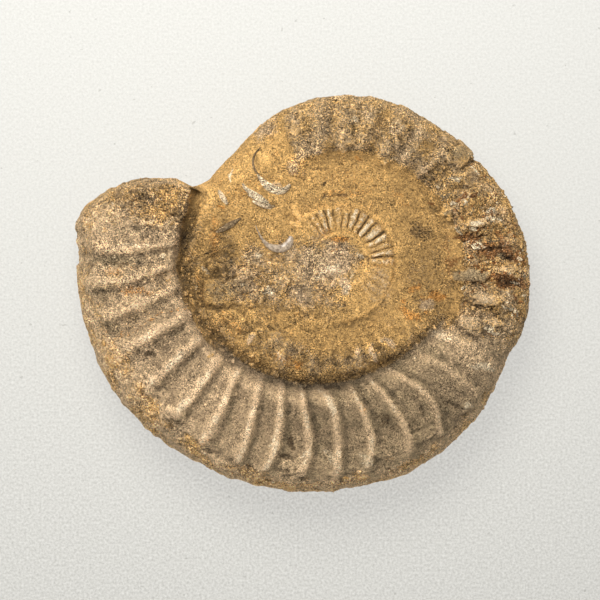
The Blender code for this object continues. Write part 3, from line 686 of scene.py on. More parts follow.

# Where the stone is lighter or darker: x, y, half length, half width, turn, and the change of tone. Most rows
# set the stone's own tone; (-60, 35), (-61.5, 33) and (-56, 24) are painted light that lifts the shade beside
# the broken end's wall and on the matrix below it.
TONES = (
    (42, -8, 11, 30, 0, -0.29), (-8, -44, 44, 12, -4, -0.32), (-50, 4, 12, 20, 5, -0.46),
    (-24, 42, 18, 12, 40, 0.1), (-56, 32, 14, 16, 45, 0.16), (0, -68, 40, 14, 0, -0.33),
    (52, -56, 18, 12, 35, -0.27), (-80, 38, 28, 8, 12, -0.22), (-97, 20, 8, 6, 0, 0.22),
    (-84, 18, 18, 5, 0, 0.16), (62, 30, 14, 24, 0, -0.02), (40, 54, 24, 14, -50, -0.14),
    (8, 62, 20, 12, 0, -0.04), (58, -36, 10, 6, -10, 0.3), (-2, 0, 16, 9, 0, 0.32), (-28, 4, 14, 6, 0, 0.1),
    (16, -28, 14, 9, 0, -0.28), (30, 30, 12, 16, -40, -0.12), (-88, -12, 16, 34, 0, 0.32),
    (-28, -22, 18, 9, 0, -0.12), (14, 32, 20, 6, -15, -0.08), (-58, -50, 20, 16, 0, 0.1),
    (8, 12, 26, 12, 0, 0.02), (68, -22, 9, 6, -10, 0.06), (18.1, -37.8, 6, 2, -76, 0.4),
    (11.1, -36, 3, 1.5, -83, 0.35), (25.4, -32.5, 4.6, 2, -34, 0.3), (-22, -38.6, 3.6, 1.7, -63, 0.35),
    (-35.2, -30.7, 4.4, 1.7, 56, 0.35), (70, 4, 14, 6, 0, 0.14), (-60, 35, 6, 3, -20, 0.5),
    (-15.8, 44, 6, 5, 0, 0.5), (38, 17, 9, 5, -35, -0.16), (6, 38, 22, 7, -5, 0.06),
    (-28.6, 48.5, 3, 3, 0, 0.25), (-12, -90, 42, 5, 2, 0.2), (22, -6, 7, 16, 0, -0.14),
    (2, -1, 8, 4, 10, 0.2), (14, 19, 12, 6, -40, -0.06), (60.4, -3.1, 9, 2.6, 0, -0.3),
    (66, -18, 9, 8, 0, -0.16), (-90, 10, 14, 20, 0, 0.08), (-56, 24, 6, 15, 5, 0.3),
    (-61.5, 33, 3.5, 6, 0, 0.5), (-92, 3, 17, 3.6, -4, -0.24), (-100, -11, 6, 5, 0, -0.26),
    (-95, -27, 9, 5, -25, -0.24), (-85, 17, 8, 4, 0, -0.2), (-70, -42, 12, 3.2, 28, -0.12),
    (-6, -51, 26, 3, -3, -0.2), (38, 2, 10, 8, 0, -0.1), (34, -22, 8, 5, 0, 0.14), (-40, 44, 10, 6, 40, 0.1),
)

MARK_SHARES = {Tint.DARK: 0.62, Tint.PALE: 0.9, Tint.PINK: 1, Tint.ORANGE: 0.8, Tint.GREY: 0.8, Tint.RUST: 0.9,
               Tint.OCHRE: 1}
MARK_FALL = 1.1  # how quickly a mark's colour ends


def from_mark(x: Array, y: Array, mark: tuple[float, ...]) -> Array:
    """How far points lie from a mark's middle, as a share of the way to its outline.

    Args:
        x: places from the middle of the coil.
        y: the same, the other way.
        mark: x and y of its middle, half length, half width and turn.

    Returns:
        The share for each point.
    """
    mark_x, mark_y, half_length, half_width, turn = mark
    cosine, sine = np.cos(np.radians(turn)), np.sin(np.radians(turn))
    east, north = x / MM - mark_x, y / MM - mark_y
    return np.hypot((east * cosine + north * sine) / half_length, (north * cosine - east * sine) / half_width)


def relief_of(x: Array, y: Array, rows: Rows, softness: float = 2.5) -> Array:
    """Adds up the relief of marks, in mm."""
    return sum(row[5] * np.exp(-softness * from_mark(x, y, row[:5]) ** 2) for row in rows)


def colour_of(x: Array, y: Array, rows: Rows) -> Array:
    """The most that any of the marks colours each point, 0 to 1."""
    shown = np.zeros_like(x)
    for *outline, _, strength in rows:
        shown = np.maximum(shown, strength * np.exp(-MARK_FALL * from_mark(x, y, outline) ** 4))
    return shown


@dataclass(frozen=True)
class Disc:
    """A round sheet of triangles in rings round one point: ring k has 6k points."""

    rings: int
    offset: float  # how far a ring's first point lies past the first bearing, in its own steps

    def start(self, ring: Array) -> Array:
        """Number of a ring's first point."""
        return np.where(ring > 0, 1 + 3 * ring * (ring - 1), 0)

    def points(self) -> tuple[Array, Array]:
        """Share of the way out, and share of the turn, of each point."""
        rings = np.concatenate([np.full(max(6 * ring, 1), ring) for ring in range(self.rings + 1)])
        place = np.arange(len(rings)) - self.start(rings)
        return rings / self.rings, (place + self.offset) / np.maximum(6 * rings, 1)

    def triangles(self) -> Array:
        """The triangles between the rings, which face up.

        Returns:
            Rows of three point numbers. The last ring's come last.
        """
        rows = []
        for ring in range(1, self.rings + 1):
            side, step = np.divmod(np.arange(6 * ring), ring)
            outer = self.start(ring) + side * ring + step
            outer_next = self.start(ring) + (side * ring + step + 1) % (6 * ring)
            inner_count = max(6 * (ring - 1), 1)
            inner = self.start(ring - 1) + (side * (ring - 1) + step) % inner_count
            inner_next = self.start(ring - 1) + (side * (ring - 1) + step + 1) % inner_count
            rows.append(np.stack((outer, outer_next, inner), axis=1))
            inside = step < ring - 1
            rows.append(np.stack((outer_next, inner_next, inner), axis=1)[inside])
        return np.concatenate(rows)


@dataclass(frozen=True)
class Texture:
    """The stone's own roughness, from broken faces down to single grains. Heights are in mm."""

    lump_cell: float = 7 * MM
    lump_height: float = 1.1
    fine_lump_cell: float = 4.3 * MM
    fine_lump_height: float = 0.35
    lattice: int = 64
    warp: Noise = Noise(5 * MM, 11, 2)
    bend: float = 1.2 * MM
    # Sheets of broken faces: their height, how far they lean, and their share of the tone.
    broken: tuple[tuple[Scatter, float, float, float], ...] = (
        (Scatter(8.5 * MM, 20), 1.5, 0.6, 0.5), (Scatter(4.2 * MM, 21), 1, 0.9, 0.6),
        (Scatter(2.1 * MM, 22), 0.5, 0.9, 0.5),
    )
    least_broken: float = 0.35
    broken_patches: Noise = Noise(9 * MM, 25, 2, level=0.5, gain=1.2)
    broken_tone: float = 0.3
    pebbles: Scatter = Scatter(2.6 * MM, 23)
    pebble_height: float = 0.6
    pebbles_gone: float = 0.6  # where the faces are most broken
    grains: Noise = Noise(2.2 * MM, 24, 2, 0.7)
    grain_height: float = 0.22
    least_grains: float = 0.3
    pits: Scatter = Scatter(3.2 * MM, 26)
    pit_share: float = 0.35
    pit_radius: float = 0.34
    pit_depth: float = 0.8
    least_pits: float = 0.15

    def lattice_noise(self, x: Array, y: Array, cell: float, seed: int) -> Array:
        """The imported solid's own lumps.

        Args:
            x: places from the middle of the coil.
            y: the same, the other way.
            cell: size of a lump.
            seed: tells one noise from another.

        Returns:
            Values between -1 and 1.
        """
        lattice = np.random.default_rng(seed).uniform(-1, 1, (self.lattice, self.lattice))
        column, row = np.floor(x / cell).astype(int), np.floor(y / cell).astype(int)
        across, up = smooth_step(x / cell - column), smooth_step(y / cell - row)
        corner = {(right, above): lattice[(column + right) % self.lattice, (row + above) % self.lattice]
                  for right, above in product((0, 1), repeat=2)}
        low, high = (corner[0, above] * (1 - across) + corner[1, above] * across for above in (0, 1))
        return low * (1 - up) + high * up

    def relief(self, points: Array, rough: Array, crumbly: Array) -> tuple[Array, Array]:
        """How far the surface stands out along its normal, and how light its broken faces are.

        Args:
            points: rows of x, y and z.
            rough: how rough the stone is there, 0 to 1.
            crumbly: how far it has crumbled, 0 to 1.

        Returns:
            The relief at each row, and a tone between 0 and 1.
        """
        bent = points + self.bend * np.stack([self.warp.at(points + axis) for axis in range(3)], axis=1)
        broken, tone = 0, 0
        for sheet, height, tilt, share in self.broken:
            broken = broken + height * sheet.chips(bent, tilt)
            tone = tone + share * sheet.numbers(sheet.nearest(bent).pick, -1, 1, 9)
        patches = self.broken_patches.mask(points)
        relief = crumbly * blend(self.least_broken, 1, patches) * broken
        relief += crumbly * (1 - self.pebbles_gone * patches) * self.pebble_height * self.pebbles.pebbles(bent)
        relief += blend(self.least_grains, 1, rough) * self.grain_height * self.grains.at(points)
        pits = self.pit_depth * self.pits.pits(bent, self.pit_share, self.pit_radius)
        relief -= np.clip(self.least_pits + rough, 0, 1) * pits
        return relief * MM, np.clip(0.5 + self.broken_tone * crumbly * tone, 0, 1)


@dataclass
class Stone:
    """The stone: its closed surface, and what colours each part of it."""

    coil: Coil = Coil()
    texture: Texture = Texture()
    rings: int = 162  # on the upper side, and half as many below
    turn_start: float = 0.84
    even_radius: float = 76 * MM
    even_spread: float = 25
    even_power: float = 4
    socket: float = 1.8 * MM  # how far it is sunk under the inner coil's ribs, which are a piece of their own
    socket_radii: Window = (12.3 * MM, 13.4 * MM, 23.6 * MM, 24.6 * MM)
    socket_turns: Window = (-69, -65, 137, 141)
    seam_groove: float = 0.7 * MM
    seam_groove_width: float = 0.06
    seam_groove_window: Window = (100, 150, 300, 330)
    rib_height: float = 2.8 * MM
    worn_from: float = 335  # bearing past which the ribs have worn to waves
    worn_rib_height: float = 0.9 * MM  # more than that where they have
    worn_rib_blend: float = 20
    rounding_power: float = 2.2
    under_rounding: float = 15 * MM
    under_rubbed: float = 0.9 * MM
    under_rib_height: float = 2.2 * MM
    under_dish_depth: float = 5 * MM
    under_lump_height: float = 0.5 * MM
    rough_window: Window = (305, 345, 600, 610)
    smooth_share: float = 0.25
    # Where the shell ends in a low ledge and the crumbly rim begins, as a ratio.
    ledge: Rows = (
        (150, 0.55), (162, 0.84), (172, 0.95), (190, 0.93), (204, 0.88), (216, 0.87), (228, 0.9), (250, 0.9),
        (262, 0.915), (290, 0.925), (312, 0.925), (330, 0.93), (360, 0.97), (510, 1),
    )
    ledge_height: float = 0.7 * MM
    ledge_width: float = 0.03
    ledge_ragged: float = 0.035
    slab_cell: float = 3.4 * MM
    slab_seed: int = 40
    slab_lean: float = 1.2
    slab_ragged: float = 1.8 * MM
    slab_size: float = 1.25
    slab_side: float = 0.45
    slab_bare: float = 0.7 * MM  # a slab of this height has no loose grains on it
    slab_blend: float = 5
    slab_smoother: Pair = (0.5, 0.9)  # how much less rough and less crumbly it is
    # What lies where, with edges made ragged by a noise.
    ragged: Noise = Noise(6 * MM, 31, 3)
    warps: tuple[Noise, Noise] = (Noise(4 * MM, 32, 2), Noise(4 * MM, 33, 2))
    warp: float = 1.5 * MM
    whorl_edge: Triple = (0.35, 0.3, 0.15)  # where it begins, its width and raggedness
    foot_edge: Triple = (0.05, 0.5, 0.2)
    foot_window: Window = (205, 230, 325, 345)
    rim_gaps: Noise = Noise(12 * MM, 37, 2, level=0.75, gain=0.9)
    wall_reach: Window = (-0.24, -0.04, 0.14, 0.26)
    wall_ragged: float = 0.04
    wall_window: Window = (150, 170, 330, 345)
    # Colour and roughness of the outer whorl's flank, and how far it has crumbled.
    columns: tuple[Tint | str, ...] = (Tint.OCHRE, Tint.GREY, Tint.RUST, Tint.PINK, Tint.DARK, "rough", "crumbly")
    flank: Rows = (
        (150, 0.55, 0.1, 0.05, 0.1, 0.48, 0.95, 1), (161, 0.52, 0.12, 0, 0.14, 0.42, 0.95, 1),
        (168, 0.25, 0.15, 0, 0.45, 0.1, 0.8, 0.35), (185, 0.3, 0.15, 0, 0.42, 0.12, 0.75, 0.35),
        (200, 0.25, 0.15, 0, 0.45, 0.1, 0.55, 0.3), (225, 0.08, 0.25, 0, 0.5, 0.06, 0.25, 0.15),
        (250, 0.08, 0.4, 0, 0.4, 0.1, 0.2, 0.12), (275, 0.08, 0.48, 0, 0.3, 0.16, 0.2, 0.12),
        (305, 0.1, 0.52, 0, 0.25, 0.18, 0.25, 0.15), (320, 0.16, 0.4, 0.05, 0.35, 0.1, 0.4, 0.2),
        (330, 0.25, 0.2, 0.05, 0.45, 0.06, 0.5, 0.25), (340, 0.45, 0.2, 0.15, 0.22, 0.12, 0.9, 0.5),
        (360, 0.52, 0.15, 0.24, 0.18, 0.14, 1, 0.7), (385, 0.56, 0.14, 0.2, 0.18, 0.12, 1, 0.6),
        (400, 0.52, 0.24, 0.08, 0.2, 0.12, 1, 0.4), (430, 0.48, 0.28, 0.05, 0.24, 0.1, 1, 0.35),
        (463, 0.45, 0.28, 0.02, 0.3, 0.08, 0.95, 0.35), (475, 0.8, 0.1, 0, 0, 0.05, 0.5, 0.2),
        (510, 0.85, 0.05, 0, 0, 0.05, 0.45, 0.25),
    )
    rim_columns: tuple[float, ...] = (0.48, 0.12, 0, 0.36, 0.12, 0.7, 0.6)
    wall_columns: tuple[float, ...] = (0.62, 0.22, 0, 0.08, 0.22, 0.7, 0.5)
    filling_columns: tuple[float, ...] = (0.82, 0.05, 0, 0.06, 0.04, 0.3, 0.25)
    # Large patches of the filling: x, y, half length, half width and turn in mm and degrees, then the columns.
    patches: Rows = (
        (-15.8, 44, 5.5, 5, 0, 0.42, 0.25, 0, 0.22, 0.15, 1, 0.8),
        (-28, 62, 10, 5, 50, 0.55, 0.1, 0, 0.5, 0.05, 0.6, 0.5),
        (-62, 22, 3.5, 7, 10, 0.75, 0.05, 0.1, 0, 0.2, 0.7, 0.4),
        (-20, -5, 32, 19, -12, 0.45, 0.18, 0, 0.4, 0.08, 0.85, 0.5),
        (-42, -6, 14, 11, -30, 0.4, 0.35, 0, 0.2, 0.18, 0.85, 0.9),
        (-2, 4.3, 17.5, 12.2, -8, 0.25, 0.28, 0, 0.46, 0.12, 1, 0.45),
        (-20, -36, 34, 9, -22, 0.55, 0.18, 0, 0.12, 0.25, 0.8, 0.35),
        (10, -42, 24, 9, 8, 0.5, 0.22, 0, 0.15, 0.22, 0.75, 0.35),
        (-50, 0, 8, 30, 5, 0.62, 0.15, 0.05, 0.05, 0.28, 0.6, 0.3),
        (42, -8, 12, 30, 0, 0.68, 0.15, 0.18, 0, 0.22, 0.45, 0.2),
        (20, -8, 8, 16, 20, 0.62, 0.05, 0, 0.1, 0, 0.15, 0.05),
    )
    patch_fall: float = 0.8
    patch_crispness: float = 2.4
    patch_ragged: float = 0.25
    # For each tint of the columns, how strongly it is mottled, and the mottles' size in mm.
    mottling: Rows = ((0.22, 9), (0.22, 7), (0.22, 8), (0.16, 10), (0.2, 5))
    mottle_seed: int = 61
    least_mottled: float = 0.4
    streaks: tuple[tuple[Tint, float, int, float], ...] = (  # tint, size, seed and strength
        (Tint.ORANGE, 16 * MM, 106, 0.44), (Tint.PINK, 11 * MM, 101, 0.3), (Tint.DARK, 6 * MM, 96, 0.16))
    streak_squeeze: Triple = (0.8, 1.4, 1)
    # The whorl's ribs: worn to waves, and sharp on the shell. On the shell the crests are partly pale shell and
    # partly painted highlight, and the side just past each crest, away from the lamp, is partly dirt and partly
    # painted shade.
    worn_tint_blend: float = 15
    worn_tint_strength: float = 1.6
    worn_gaps: Noise = Noise(13 * MM, 35, 2, level=0.5, gain=1.3)
    worn_least: float = 0.3
    # On the worn waves: crests pinker, valleys darker and rustier, partly the stone's own colour and partly painted
    # shade in the valleys.
    worn_tints: tuple[tuple[Tint, float], ...] = (
        (Tint.PINK, 0.4), (Tint.OCHRE, -0.15), (Tint.DARK, -0.3), (Tint.RUST, -0.25))
    shell_end: Pair = (325, 15)  # bearing where the sharp ribs' colours end, and their blend
    crest_reach: Pair = (0.45, 0.5)
    valley: Window = (0.02, 0.12, 0.3, 0.62)
    blotches: Noise = Noise(9 * MM, 36, 3, 0.6, level=0.45, gain=1.4)
    blotch_reach: Pair = (0.25, 1.35)
    paling_and_highlight: Noise = Noise(7 * MM, 38, 3, 0.6, level=0.4, gain=1.6)
    crest_pale_and_highlight: Pair = (0.08, 0.52)
    crest_pink: float = 0.25
    crest_grey: float = -0.35
    valley_dirt_and_shade: float = 0.2
    valley_grey: float = 0.2
    # The inner coil's ribs. The grooves between them are darkened with painted shade.
    small_rib_gaps: Noise = Noise(4.5 * MM, 71, 2, level=-0.3, gain=1.4)
    small_rib_stains: Noise = Noise(3 * MM, 74, 2, level=0.25, gain=1.3)
    small_rib_gone: float = 0.8
    small_rib_stained: float = 0.7
    small_rib_pale: float = 0.7
    small_rib_pink: float = 0.55
    small_rib_ochre: float = 0.35
    small_rib_grey: float = 0.4
    small_rib_groove_shade: float = 0.8
    small_rib_smoother: float = 0.7
    # Lighter and darker stretches: tone that varies at random; painted shade on the umbilical wall and the
    # matrix at its foot; painted light on the whorl's foot beside it and on the crumbly rim; painted light and
    # shade on the worn waves; a lighter rim further round; and how deep each point lies among its neighbours,
    # which the material turns into painted shade in hollows and painted light on crests.
    broad_tone: float = 0.05
    broad: Noise = Noise(15 * MM, 66, 3, 0.6)
    shaded_wall: Window = (-0.22, -0.06, 0.12, 0.18)
    foot_lift: float = 0.14
    # Painted shade on the umbilical wall and the matrix at its foot.
    wall_painted_shade: float = -0.16
    foot: Window = (0.02, 0.1, 0.35, 0.7)
    # Painted light on the whorl's foot, beside the wall.
    foot_painted_light: float = 0.08
    rim_window: Window = (166, 180, 325, 340)
    # Painted light on the crumbly rim, which turns away from the lamp.
    rim_painted_light: float = 0.38
    worn_rib_window: Window = (335, 350, 456, 466)
    worn_rib_start: float = 0.2
    # Painted light on the worn waves' crests and painted shade in their valleys.
    worn_rib_painted_light_and_shade: float = 0.22
    old_rim: Pair = (0.9, 0.04)  # ratio where the rim begins further round, and its blend
    old_rim_window: Window = (340, 356, 450, 470)
    old_rim_tone: float = 0.24
    hollow_steps: int = 14
    hollow_depth: float = 0.45 * MM
    upper_island: Triple = (0.412, 0.412, 0.405)  # middle and radius on the UV map
    lower_island: Triple = (0.875, 0.875, 0.115)

    @property
    def filling(self) -> Filling:
        """What fills the umbilicus."""
        return Filling(self.coil)

    def upper(self, bearing: Array, radius: Array) -> Array:
        """Height of the upper side.

        Args:
            bearing: bearings of the points.
            radius: their distance from the middle of the coil.

        Returns:
            The height at each.
        """
        x, y = from_polar(bearing, radius)
        ratio, climbed, whorl = self.coil.placed(bearing, radius)
        flank = self.coil.thickness(bearing) - self.coil.flank_fall * np.clip(climbed, 0, 1) ** 2
        height = blend(self.filling.dish(x, y, radius), flank, whorl)
        groove = np.exp(-(climbed / self.seam_groove_width) ** 2)
        height -= self.seam_groove * groove * window(bearing, *self.seam_groove_window)
        worn = smooth_step((bearing - self.worn_from) / self.worn_rib_blend)
        rib_height = self.rib_height + self.worn_rib_height * worn
        height += rib_height * (self.coil.ribs_at(bearing, ratio).relief - 0.5) * whorl
        height += self.filling.ridge(bearing, ratio)
        height += self.filling.inner_coil(x, y, bearing)
        height += relief_of(x, y, LUMPS) * MM
        away, turn = self.filling.from_ribs(x, y)
        height -= self.socket * window(away, *self.socket_radii) * window(turn, *self.socket_turns)
        texture = self.texture
        rough = blend(self.smooth_share, 1, window(bearing, *self.rough_window))
        lumps = texture.lattice_noise(x, y, texture.lump_cell, 3)
        height += texture.lump_height * MM * rough * whorl * lumps
        height += texture.fine_lump_height * MM * texture.lattice_noise(x, y, texture.fine_lump_cell, 4)
        return self.rounded_off(bearing, radius, height, along(bearing, self.coil.edge_rounding) * MM)

    def lower(self, bearing: Array, radius: Array) -> Array:
        """Height of the side it lies on, rubbed flat where it touches the ground.

        Args:
            bearing: bearings of the points.
            radius: their distance from the middle of the coil.

        Returns:
            The height at each.
        """
        ratio, climbed, whorl = self.coil.placed(bearing, radius)
        flank = self.coil.flank_fall * np.clip(climbed, 0, 1) ** 2 - self.under_rubbed
        flank += self.under_rib_height * (0.5 - self.coil.ribs_at(bearing, ratio).relief)
        height = blend(self.under_dish_depth, flank, whorl)
        lumps = self.texture.lattice_noise(*from_polar(bearing, radius), self.texture.lump_cell, 5)
        height += self.under_lump_height * lumps
        return self.rounded_off(bearing, radius, np.maximum(height, 0), self.under_rounding)

    def rounded_off(self, bearing: Array, radius: Array, height: Array, rounding: Array | float) -> Array:
        """Bends a side round to the edge's own height over the last stretch before the edge.

        Args:
            bearing: bearings of the points.
            radius: their distance from the middle of the coil.
            height: the side's height before it is bent.
            rounding: how wide the stretch is.

        Returns:
            The height at each.
        """
        middle = self.coil.widest_height * self.coil.thickness(bearing)
        outward = np.clip(1 - (self.coil.edge_radius(bearing) - radius) / rounding, 0, 1)
        return blend(middle, height, np.sqrt(np.maximum(1 - outward ** self.rounding_power, 0)))

    def ring_radius(self, bearing: Array, share: Array) -> Array:
        """Radius of a point of the grid, evened out near the step in the edge.

        Args:
            bearing: bearings of the points.
            share: how far out they are, 0 to 1.

        Returns:
            The radius of each.
        """
        bend_width = 1 - self.turn_start
        share = share * (self.turn_start + bend_width * np.pi / 2)
        bending = np.sin(np.clip((share - self.turn_start) / bend_width, 0, np.pi / 2))
        share = np.where(share < self.turn_start, share, self.turn_start + bend_width * bending)
        edge = self.coil.edge_radius(bearing)
        from_step = np.minimum(bearing - self.coil.first_bearing, self.coil.first_bearing + TURN - bearing)
        evened = blend(edge, self.even_radius, np.exp(-(from_step / self.even_spread) ** 2))
        return share * blend(evened, edge, share ** self.even_power)

    def surface(self) -> Surface:
        """Points and triangles of the closed surface, before its texture.

        Returns:
            Arrays named points, triangles, bearing, radius, above (1 on the upper side) and share.
        """
        upper, lower = Disc(self.rings, 0.5), Disc(self.rings // 2, 0.25)
        parts = []
        for disc, height in ((upper, self.upper), (lower, self.lower)):
            share, turned = disc.points()
            bearing = self.coil.first_bearing + TURN * turned
            radius = self.ring_radius(bearing, share)
            x, y = from_polar(bearing, radius)
            points = np.stack((x + self.coil.centre[0], y + self.coil.centre[1], height(bearing, radius)), axis=1)
            parts.append((points, bearing, radius, share))
        upper_count = len(parts[0][1])
        kept = int(lower.start(lower.rings))  # the lower side's last ring is the upper side's
        edge_start, edge_count = int(upper.start(self.rings)), 6 * lower.rings
        number = np.concatenate((upper_count + np.arange(kept), edge_start + 2 * np.arange(edge_count)))
        under = number[lower.triangles()]
        rest, outer, strip = np.split(under, (len(under) - 2 * edge_count + 6, len(under) - edge_count + 6))
        first, last, inner = outer.T
        split = np.concatenate((np.stack((first, first + 1, inner), axis=1),
                                np.stack((first + 1, last, inner), axis=1)))
        under = np.concatenate((rest, strip, split))
        joined = [np.concatenate((top, bottom[:kept])) for top, bottom in zip(*parts)]
        return {
            **dict(zip(("points", "bearing", "radius", "share"), joined)),
            "triangles": np.concatenate((upper.triangles(), under[:, ::-1])),
            "above": (np.arange(len(joined[0])) < upper_count).astype(float),
        }

    def rim(self, bearing: Array, ratio: Array, ragged: Array) -> Array:
        """The crumbly rim outside the ledge, 0 to 1."""
        return smooth_step((ratio - along(bearing, self.ledge) + self.ledge_ragged * ragged) / self.ledge_width)

    def filled(self, x: Array, y: Array, ragged: Array) -> Shares:
        """What colours the filling, and how rough it is.

        Args:
            x: places from the middle of the coil.
            y: the same, the other way.
            ragged: the noise that makes edges ragged.

        Returns:
            A share for each column.
        """
        shares = {name: np.full_like(x, value) for name, value in zip(self.columns, self.filling_columns)}
        for row in self.patches:
            near = np.exp(-self.patch_fall * from_mark(x, y, row[:5]) ** 2)
            inside = (2 * np.exp(-1) - np.exp(-near)) * self.patch_crispness + self.patch_ragged * ragged
            for name, value in zip(self.columns, row[5:]):
                shares[name] = blend(shares[name], value, smooth_step(inside))
        return shares

    def zones(self, surface: Surface) -> Shares:
        """What colours each point, and how rough the stone is there.

        Args:
            surface: the surface's arrays.

        Returns:
            A share for each tint, and also rough and crumbly.
        """
        points, bearing, above = surface["points"], surface["bearing"], surface["above"]
        ratio, climbed, shown = self.coil.placed(bearing, surface["radius"])
        ragged = self.ragged.at(points)
        warp = np.stack([noise.at(points) for noise in self.warps], axis=1)
        x, y = (points[:, :2] + self.warp * warp - self.coil.centre).T
        start, width, uneven = self.whorl_edge
        whorl = smooth_step((shown - start) / width + uneven * ragged)
        width, start, uneven = self.foot_edge
        foot = smooth_step(climbed / width + start + uneven * ragged) * window(bearing, *self.foot_window)
        whorl = np.maximum(whorl, foot)
        rim = self.rim(bearing, ratio, ragged) * whorl * self.rim_gaps.mask(points)
        wall = window(climbed + self.wall_ragged * ragged, *self.wall_reach) * window(bearing, *self.wall_window)
        filled = self.filled(x, y, ragged)
        zones = {tint: np.zeros_like(x) for tint in Tint}
        for column, name in enumerate(self.columns):
            flank = along(bearing, self.flank, column + 1)
            flank = blend(flank, self.rim_columns[column], rim * (bearing < self.worn_from))
            zones[name] = blend(blend(filled[name], self.wall_columns[column], wall), flank, whorl)
        for number, (spread, cell) in enumerate(self.mottling):
            spread = spread * blend(self.least_mottled, 1, zones["rough"])
            zones[self.columns[number]] += spread * Noise(cell * MM, self.mottle_seed + number, 3, 0.6).at(points)
        for tint, cell, seed, share in self.streaks:
            streak = np.clip(Noise(cell, seed, 4, 0.6).at(points * self.streak_squeeze), 0, 1)
            zones[tint] += share * (1 - whorl) * streak
        for tint, rows in MARKS.items():
            zones[tint] = np.maximum(zones[tint], MARK_SHARES[tint] * colour_of(x, y, rows) * above)
        self.colour_ribs(zones, self.coil.ribs_at(bearing, ratio), surface, whorl, rim)
        self.colour_small_ribs(zones, points)
        slab = np.clip(self.slabs(points) / self.slab_bare, 0, 1) * above
        slab = slab * smooth_step((bearing - self.worn_from) / self.slab_blend)
        for name, less in zip(("rough", "crumbly"), self.slab_smoother):
            zones[name] *= 1 - less * slab
        return {name: np.clip(values, 0, 1) for name, values in zones.items()}

    def colour_ribs(self, zones: Shares, ribs: Ribs, surface: Surface, whorl: Array, rim: Array) -> None:
        """Colours the crests and the valleys of the whorl's ribs: painted highlight, with pale shell, on the crests,
        and painted shade, with dirt, on the side past each crest.

        Args:
            zones: the shares to change.
            ribs: the ribs at each point.
            surface: the surface's arrays.
            whorl: where the whorl shows.
            rim: where the crumbly rim lies.
        """
        points, bearing = surface["points"], surface["bearing"]
        worn = whorl * smooth_step((bearing - self.worn_from) / self.worn_tint_blend) * ribs.strength
        worn = self.worn_tint_strength * worn * blend(self.worn_least, 1, self.worn_gaps.mask(points))
        for tint, change in self.worn_tints:
            zones[tint] += change * ribs.wave * worn
        end, width = self.shell_end
        shell = whorl * (1 - rim) * ribs.strength * (1 - smooth_step((bearing - end) / width))
        start, width = self.crest_reach
        crest = smooth_step((ribs.relief - start) / width) * shell
        # Painted shade, mixed with dirt, on the side just past each crest.
        valley = window(ribs.past_crest, *self.valley) * shell
        valley = valley * blend(*self.blotch_reach, self.blotches.mask(points))
        # Pale crests: partly pale shell, partly painted highlight.
        pale_and_highlight = blend(*self.crest_pale_and_highlight, self.paling_and_highlight.mask(points))
        zones[Tint.PALE] = np.maximum(zones[Tint.PALE], pale_and_highlight * crest)
        zones[Tint.DARK] += self.valley_dirt_and_shade * valley
        zones[Tint.GREY] += self.valley_grey * valley + self.crest_grey * crest
        zones[Tint.PINK] += self.crest_pink * crest

    def colour_small_ribs(self, zones: Shares, points: Array) -> None:
        """Colours the inner coil's ribs, and darkens the grooves between them with painted shade.

        Args:
            zones: the shares to change.
            points: rows of x, y and z.
        """
        crests, ribbed = self.filling.small_ribs(*(points[:, :2] - self.coil.centre).T)
        ribbed = ribbed * (1 - self.small_rib_gone * self.small_rib_gaps.mask(points))
        clean = 1 - self.small_rib_stained * self.small_rib_stains.mask(points)
        grooves = smooth_step((0.7 - crests) / 0.5)
        for tint, least in ((Tint.PALE, self.small_rib_pale * smooth_step(crests * 2 - 0.8) * clean),
                            (Tint.PINK, self.small_rib_pink * crests), (Tint.DARK, self.small_rib_groove_shade * grooves)):
            zones[tint] = np.maximum(zones[tint], least * ribbed)
        zones[Tint.OCHRE] *= 1 - self.small_rib_ochre * ribbed * crests
        grey = self.small_rib_grey * ribbed * (1 - crests)
        zones[Tint.GREY] = np.maximum(zones[Tint.GREY] * (1 - ribbed), grey)
        zones["rough"] *= 1 - self.small_rib_smoother * ribbed

    def slabs(self, points: Array) -> Array:
        """Height of the broken slabs at each point."""
        angular = np.stack([Scatter(self.slab_cell, self.slab_seed + axis).chips(points, self.slab_lean)
                            for axis in range(2)], axis=1)
        x, y = (points[:, :2] - self.coil.centre + self.slab_ragged * angular).T
        height = np.zeros_like(x)
        for *outline, rise in SLABS:
            inside = (self.slab_size - from_mark(x, y, outline) ** 2) / self.slab_side
            height = np.maximum(height, rise * MM * smooth_step(inside))
        return height

    def cast(self, surface: Surface) -> Array:
        """How much lighter or darker than usual the stone is: partly its own tone, and partly painted shade on the
        umbilical wall and painted light on the whorl's foot, the rim and the worn waves' crests.

        Args:
            surface: the surface's arrays.

        Returns:
            What to add to the tone of each point.
        """
        points, bearing = surface["points"], surface["bearing"]
        ratio, climbed, _ = self.coil.placed(bearing, surface["radius"])
        start, dark, still_dark, end = self.shaded_wall
        lift = self.foot_lift * window(bearing, *self.foot_window)
        wall = window(climbed, start, dark, still_dark - lift, end - lift) * window(bearing, *self.wall_window)
        rim = self.rim(bearing, ratio, 0) * window(bearing, *self.rim_window)
        worn = window(bearing, *self.worn_rib_window) * smooth_step(climbed / self.worn_rib_start)
        foot = window(climbed, *self.foot) * window(bearing, *self.foot_window)
        old_rim = smooth_step((ratio - self.old_rim[0]) / self.old_rim[1]) * window(bearing, *self.old_rim_window)
        return (relief_of(*(points[:, :2] - self.coil.centre).T, TONES, 1) + self.wall_painted_shade * wall
                + self.rim_painted_light * rim + self.broad_tone * self.broad.at(points) + self.foot_painted_light * foot
                + self.worn_rib_painted_light_and_shade * worn * self.coil.ribs_at(bearing, ratio).wave + self.old_rim_tone * old_rim)

